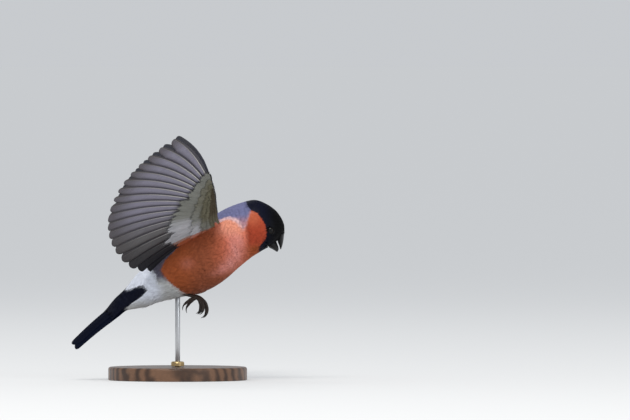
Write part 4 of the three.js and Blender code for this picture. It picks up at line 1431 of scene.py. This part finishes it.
def makeEye(sideName, side, s):
    centre = np.array([s["x"], side * s["outward"], s["z"]])
    fall = np.linspace(0.02, math.pi - 0.02, 40)
    profile = np.stack([np.sin(fall), np.cos(fall)], -1) * s["radius"]
    ball = turned(profile, 48)[..., [0, 2, 1]] + centre
    piece = makePiece(f"eyeball_{sideName}", *loft(ball)[:2], eyeMaterial)
    place(piece, "eye", f"eye_{sideName}")
    turn = np.linspace(0, 2 * math.pi, 65)[:-1]
    path = np.stack([
        s["x"] + s["lidRadius"] * 1.04 * np.cos(turn),
        side * (s["outward"] + s["lidOut"]) + 0 * turn,
        s["z"] + s["lidRadius"] * 0.94 * np.sin(turn)], -1)
    outward = np.array([0, side, 0])
    radial = unit(path - path.mean(0))
    roll = np.arange(14) * 2 * math.pi / 14
    rings = path[:, None] + s["lidThick"] * (
        radial[:, None] * np.cos(roll)[:, None] + outward * 0.9 * np.sin(roll)[:, None])
    piece = makePiece(f"eyelid_{sideName}", *closedLoft(rings), lidSkin)
    place(piece, "cap_plumage", "head")


for sideName, side in sides.items():
    makeEye(sideName, side, eyeForm)
print("bill and eyes ready")


# Legs: a scaled tarsus that points forward under the belly, and four clenched toes with claws

legForm = {
    "ankle": (-4.8, 6.4, 54.4),
    "footJoint": (11.6, 6.0, 50.3),
    "radius": 0.95,
    "toeRadius": 1.14,
    "clawRadius": 0.58,
    "clawTip": 0.10,
    "clawCurl": 58.0,
    "toes": {  # heading and curl in the side view, length, splay, claw length, further turn of the left foot
        "middle": (-12, -88, 12.4, 2, 4.4, -6),
        "inner": (-40, -62, 9.0, -22, 3.8, -6),
        "outer": (-26, -76, 10.0, 19, 3.8, -8),
        "hind": (197, 26, 8.4, 6, 4.2, 15),
    },
}


# Path of a toe and its claw, in small steps. Their heading turns by curl over the toe and by clawCurl over
# the claw.
def toePath(side, toe, s):
    heading, curl, length, splay, claw, farTurn = toe
    step = 0.1
    travel = np.arange(0, length + claw, step)
    onToe, onClaw = np.clip(travel / length, 0, 1), np.clip((travel - length) / claw, 0, 1)
    heading = heading + (farTurn if side > 0 else 0)
    bearing = np.radians(heading + curl * onToe + math.copysign(s["clawCurl"], curl) * onClaw)
    sideways = math.radians(splay)
    moves = np.stack([
        np.cos(bearing) * math.cos(sideways), side * math.sin(sideways) + 0 * bearing,
        np.sin(bearing) * math.cos(sideways)], -1) * step
    start = np.array(s["footJoint"]) * (1, side, 1)
    return start + np.cumsum(moves, axis=0), travel, length


def makeLeg(sideName, side, s):
    ankle, joint = (np.array(s[key]) * (1, side, 1) for key in ("ankle", "footJoint"))
    share = np.linspace(-0.12, 1.05, 136)
    path = mix(ankle, joint, share[:, None])
    scutes = 1 + 0.045 * np.abs(np.sin(share * math.pi * 9))
    knobs = 0.25 * np.exp(-((share - 1) / 0.07) ** 2) + 0.3 * np.exp(-(share / 0.08) ** 2)
    radius = s["radius"] * scutes * (1 + knobs)
    scaled = [loft(tube(path, radius, 20))[:2]]
    claws = []
    for toe in s["toes"].values():
        path, travel, length = toePath(side, toe, s)
        onToe = travel <= length + 0.4
        pads = 1 + 0.10 * np.sin(travel / length * math.pi * 3) ** 2
        rings = 1 + 0.035 * np.abs(np.sin(travel * math.pi / 0.75))
        thinning = np.clip(travel / length, 0, 1) ** 1.5
        radius = mix(s["toeRadius"], s["clawRadius"] * 1.12, thinning) * pads * rings
        scaled.append(loft(tube(path[onToe], radius[onToe], 18, upHint=(0, 1, 0)))[:2])
        onClaw = travel >= length - 0.5
        clawShare = (travel[onClaw] - travel[onClaw][0]) / (travel[onClaw][-1] - travel[onClaw][0])
        radius = mix(s["clawRadius"], s["clawTip"], clawShare ** 1.3)
        claws.append(loft(tube(path[onClaw], radius, 14, upHint=(0, 1, 0), flat=1.15))[:2])
    points, triangles = joined(scaled)
    place(makePiece(f"scaled_leg_{sideName}", points, triangles, legSkin), "leg_skin",
          f"leg_{sideName}", f"foot_{sideName}")
    points, triangles = joined(claws)
    place(makePiece(f"claws_{sideName}", points, triangles, clawHorn), "leg_skin", f"foot_{sideName}")


for sideName, side in sides.items():
    makeLeg(sideName, side, legForm)
print("legs ready")


# Display stand: turned base, collar and rod

standForm = {
    "baseRadius": 42.0, "baseHeight": 8.0, "baseRound": 1.4, "footRound": 0.5, "boreRadius": 2.3,
    "collarRadius": 4.0, "collarHeight": 3.0, "collarBore": 1.8, "collarFoot": 8.3, "collarChamfer": 1.0,
    "rodRadius": 1.5, "rodFoot": 2.3, "rodTop": 62.0,
}


# Quarter of a circle about (x, z), from the angle on
def roundedCorner(x, z, radius, fromAngle):
    angle = np.radians(np.linspace(fromAngle, fromAngle + 90, 8))
    return np.stack([x + radius * np.cos(angle), z + radius * np.sin(angle)], -1)


def makeWoodMaterial():
    material, tree, shader = newMaterial("oiled walnut", 0.42, 0.4, coat=0.15)
    where = addNode(tree, "ShaderNodeTexCoord").outputs["Object"]
    stretched = addNode(tree, "ShaderNodeMapping", {"Vector": where, "Scale": (8.0, 60.0, 60.0)}).outputs[0]
    warp = addNode(tree, "ShaderNodeTexNoise", {"Vector": stretched, "Scale": 1.4, "Detail": 3.0}).outputs[0]
    waves = {"Vector": where, "Scale": 55.0, "Distortion": 9.0, "Detail": 3.0, "Detail Scale": 0.8}
    wide = addNode(tree, "ShaderNodeTexWave", waves, bands_direction="Y").outputs[1]
    fine = {"Vector": stretched, "Scale": 30.0, "Detail": 4.0}
    pores = addNode(tree, "ShaderNodeTexNoise", fine).outputs[0]
    grain = maths(tree, "ADD", maths(tree, "MULTIPLY", wide, 0.55), maths(tree, "MULTIPLY", warp, 0.45))
    colour = addRamp(tree, grain, (0.25, (0.045, 0.021, 0.011)), (0.75, (0.165, 0.083, 0.044)))
    colour = shaded(tree, colour, maths(tree, "MULTIPLY_ADD", pores, 0.7, 0.65))
    tree.links.new(colour, shader.inputs["Base Color"])
    addBump(tree, shader, pores, 0.3, 0.00008)
    return material


# Metal with fine lines round the upright axis: noise stretched along them changes roughness and height
def makeMetalMaterial(name, colour, roughness, lines):
    material, tree, shader = newMaterial(name, roughness, metallic=1.0)
    shader.inputs["Base Color"].default_value = (*colour, 1)
    where = addNode(tree, "ShaderNodeTexCoord").outputs["Object"]
    stretched = addNode(tree, "ShaderNodeMapping", {"Vector": where, "Scale": lines}).outputs[0]
    fine = {"Vector": stretched, "Scale": 1.0, "Detail": 3.0}
    noise = addNode(tree, "ShaderNodeTexNoise", fine).outputs[0]
    tree.links.new(maths(tree, "MULTIPLY_ADD", noise, 0.25, roughness - 0.1), shader.inputs["Roughness"])
    addBump(tree, shader, noise, 0.25, 0.00004)
    return material


def makeStand(s):
    r, h, c, f = s["baseRadius"], s["baseHeight"], s["baseRound"], s["footRound"]
    base = np.concatenate([
        [(1.0, 0)], roundedCorner(r - f, f, f, -90), roundedCorner(r - c, h - c, c, 0),
        [(s["boreRadius"], h), (s["boreRadius"], 2.0)],
    ])
    points, triangles = loft(turned(base, 160))[:2]
    piece = makePiece("stand_base_turned", points, triangles, makeWoodMaterial(), smooth=False)
    place(piece, "stand_wood", "stand_base")
    low, high, out = s["collarFoot"], s["collarFoot"] + s["collarHeight"], s["collarRadius"]
    bore, chamfer = s["collarBore"], s["collarChamfer"]
    ring = np.array([
        (bore, low), (out - 0.2, low), (out, low + 0.2), (out, high - chamfer),
        (out - chamfer * 0.3, high - chamfer * 0.25), (out - chamfer, high), (bore, high),
    ])
    brass = makeMetalMaterial("turned brass", (0.55, 0.40, 0.20), 0.3, (200, 200, 6000))
    points, triangles = closedLoft(turned(ring, 96))
    piece = makePiece("stand_collar_turned", points, triangles, brass, smooth=False)
    place(piece, "stand_brass", "stand_collar")
    radius = s["rodRadius"]
    rod = np.array([
        (radius * 0.9, s["rodFoot"]), (radius, s["rodFoot"] + 0.3),
        (radius, s["rodTop"] - 1.0), (radius * 0.6, s["rodTop"]),
    ])
    steel = makeMetalMaterial("brushed steel", (0.56, 0.57, 0.59), 0.28, (3000, 3000, 60))
    points, triangles = loft(turned(rod, 48))[:2]
    place(makePiece("stand_rod_polished", points, triangles, steel), "stand_steel", "stand_rod")


makeStand(standForm)
print("stand ready")


# Floor, light and finish

studio = {
    "floorSize": 120.0,
    "floorColour": (0.56, 0.56, 0.555),
    "world": (0.93, 0.96, 1.0),
    "worldStrength": 0.62,
    "floorGlow": 0.275,  # makes the far floor as light as the backdrop, so that no line shows between them
    "aim": (0, 0, 0.09),  # what the lamps point at, in metres
    "lamps": {  # place in metres, size, power, colour
        "key": ((-0.35, -1.25, 1.75), 1.1, 24.0, (1.0, 0.97, 0.93)),
        "front fill": ((1.5, -1.6, 0.7), 1.2, 7.0, (0.95, 0.98, 1.0)),
        "rear": ((-0.6, 1.2, 1.7), 0.9, 5.0, (1.0, 0.99, 0.96)),
    },
}


def makeStudio(s):
    half = s["floorSize"] / 2
    mesh = bpy.data.meshes.new("floor")
    corners = [(-half, -half, 0), (half, -half, 0), (half, half, 0), (-half, half, 0)]
    mesh.from_pydata(corners, [], [(0, 1, 2, 3)])
    floor = addToScene("floor", mesh)
    material, tree, shader = newMaterial("floor", 1.0, 0.0)
    shader.inputs["Base Color"].default_value = (*s["floorColour"], 1)
    shader.inputs["Emission Color"].default_value = (*s["world"], 1)
    shader.inputs["Emission Strength"].default_value = s["floorGlow"]
    mesh.materials.append(material)
    world = bpy.data.worlds.new("studio")
    bpy.context.scene.world = world
    world.use_nodes = True
    background = world.node_tree.nodes["Background"]
    background.inputs[0].default_value = (*s["world"], 1)
    background.inputs[1].default_value = s["worldStrength"]
    for name, (spot, size, power, colour) in s["lamps"].items():
        data = bpy.data.lights.new(name, "AREA")
        data.shape, data.size, data.energy, data.color = "DISK", size, power, colour
        lamp = addToScene(name, data)
        lamp.location = spot
        aimAlong(lamp, Vector(s["aim"]) - Vector(spot))


makeStudio(studio)
print("studio ready")
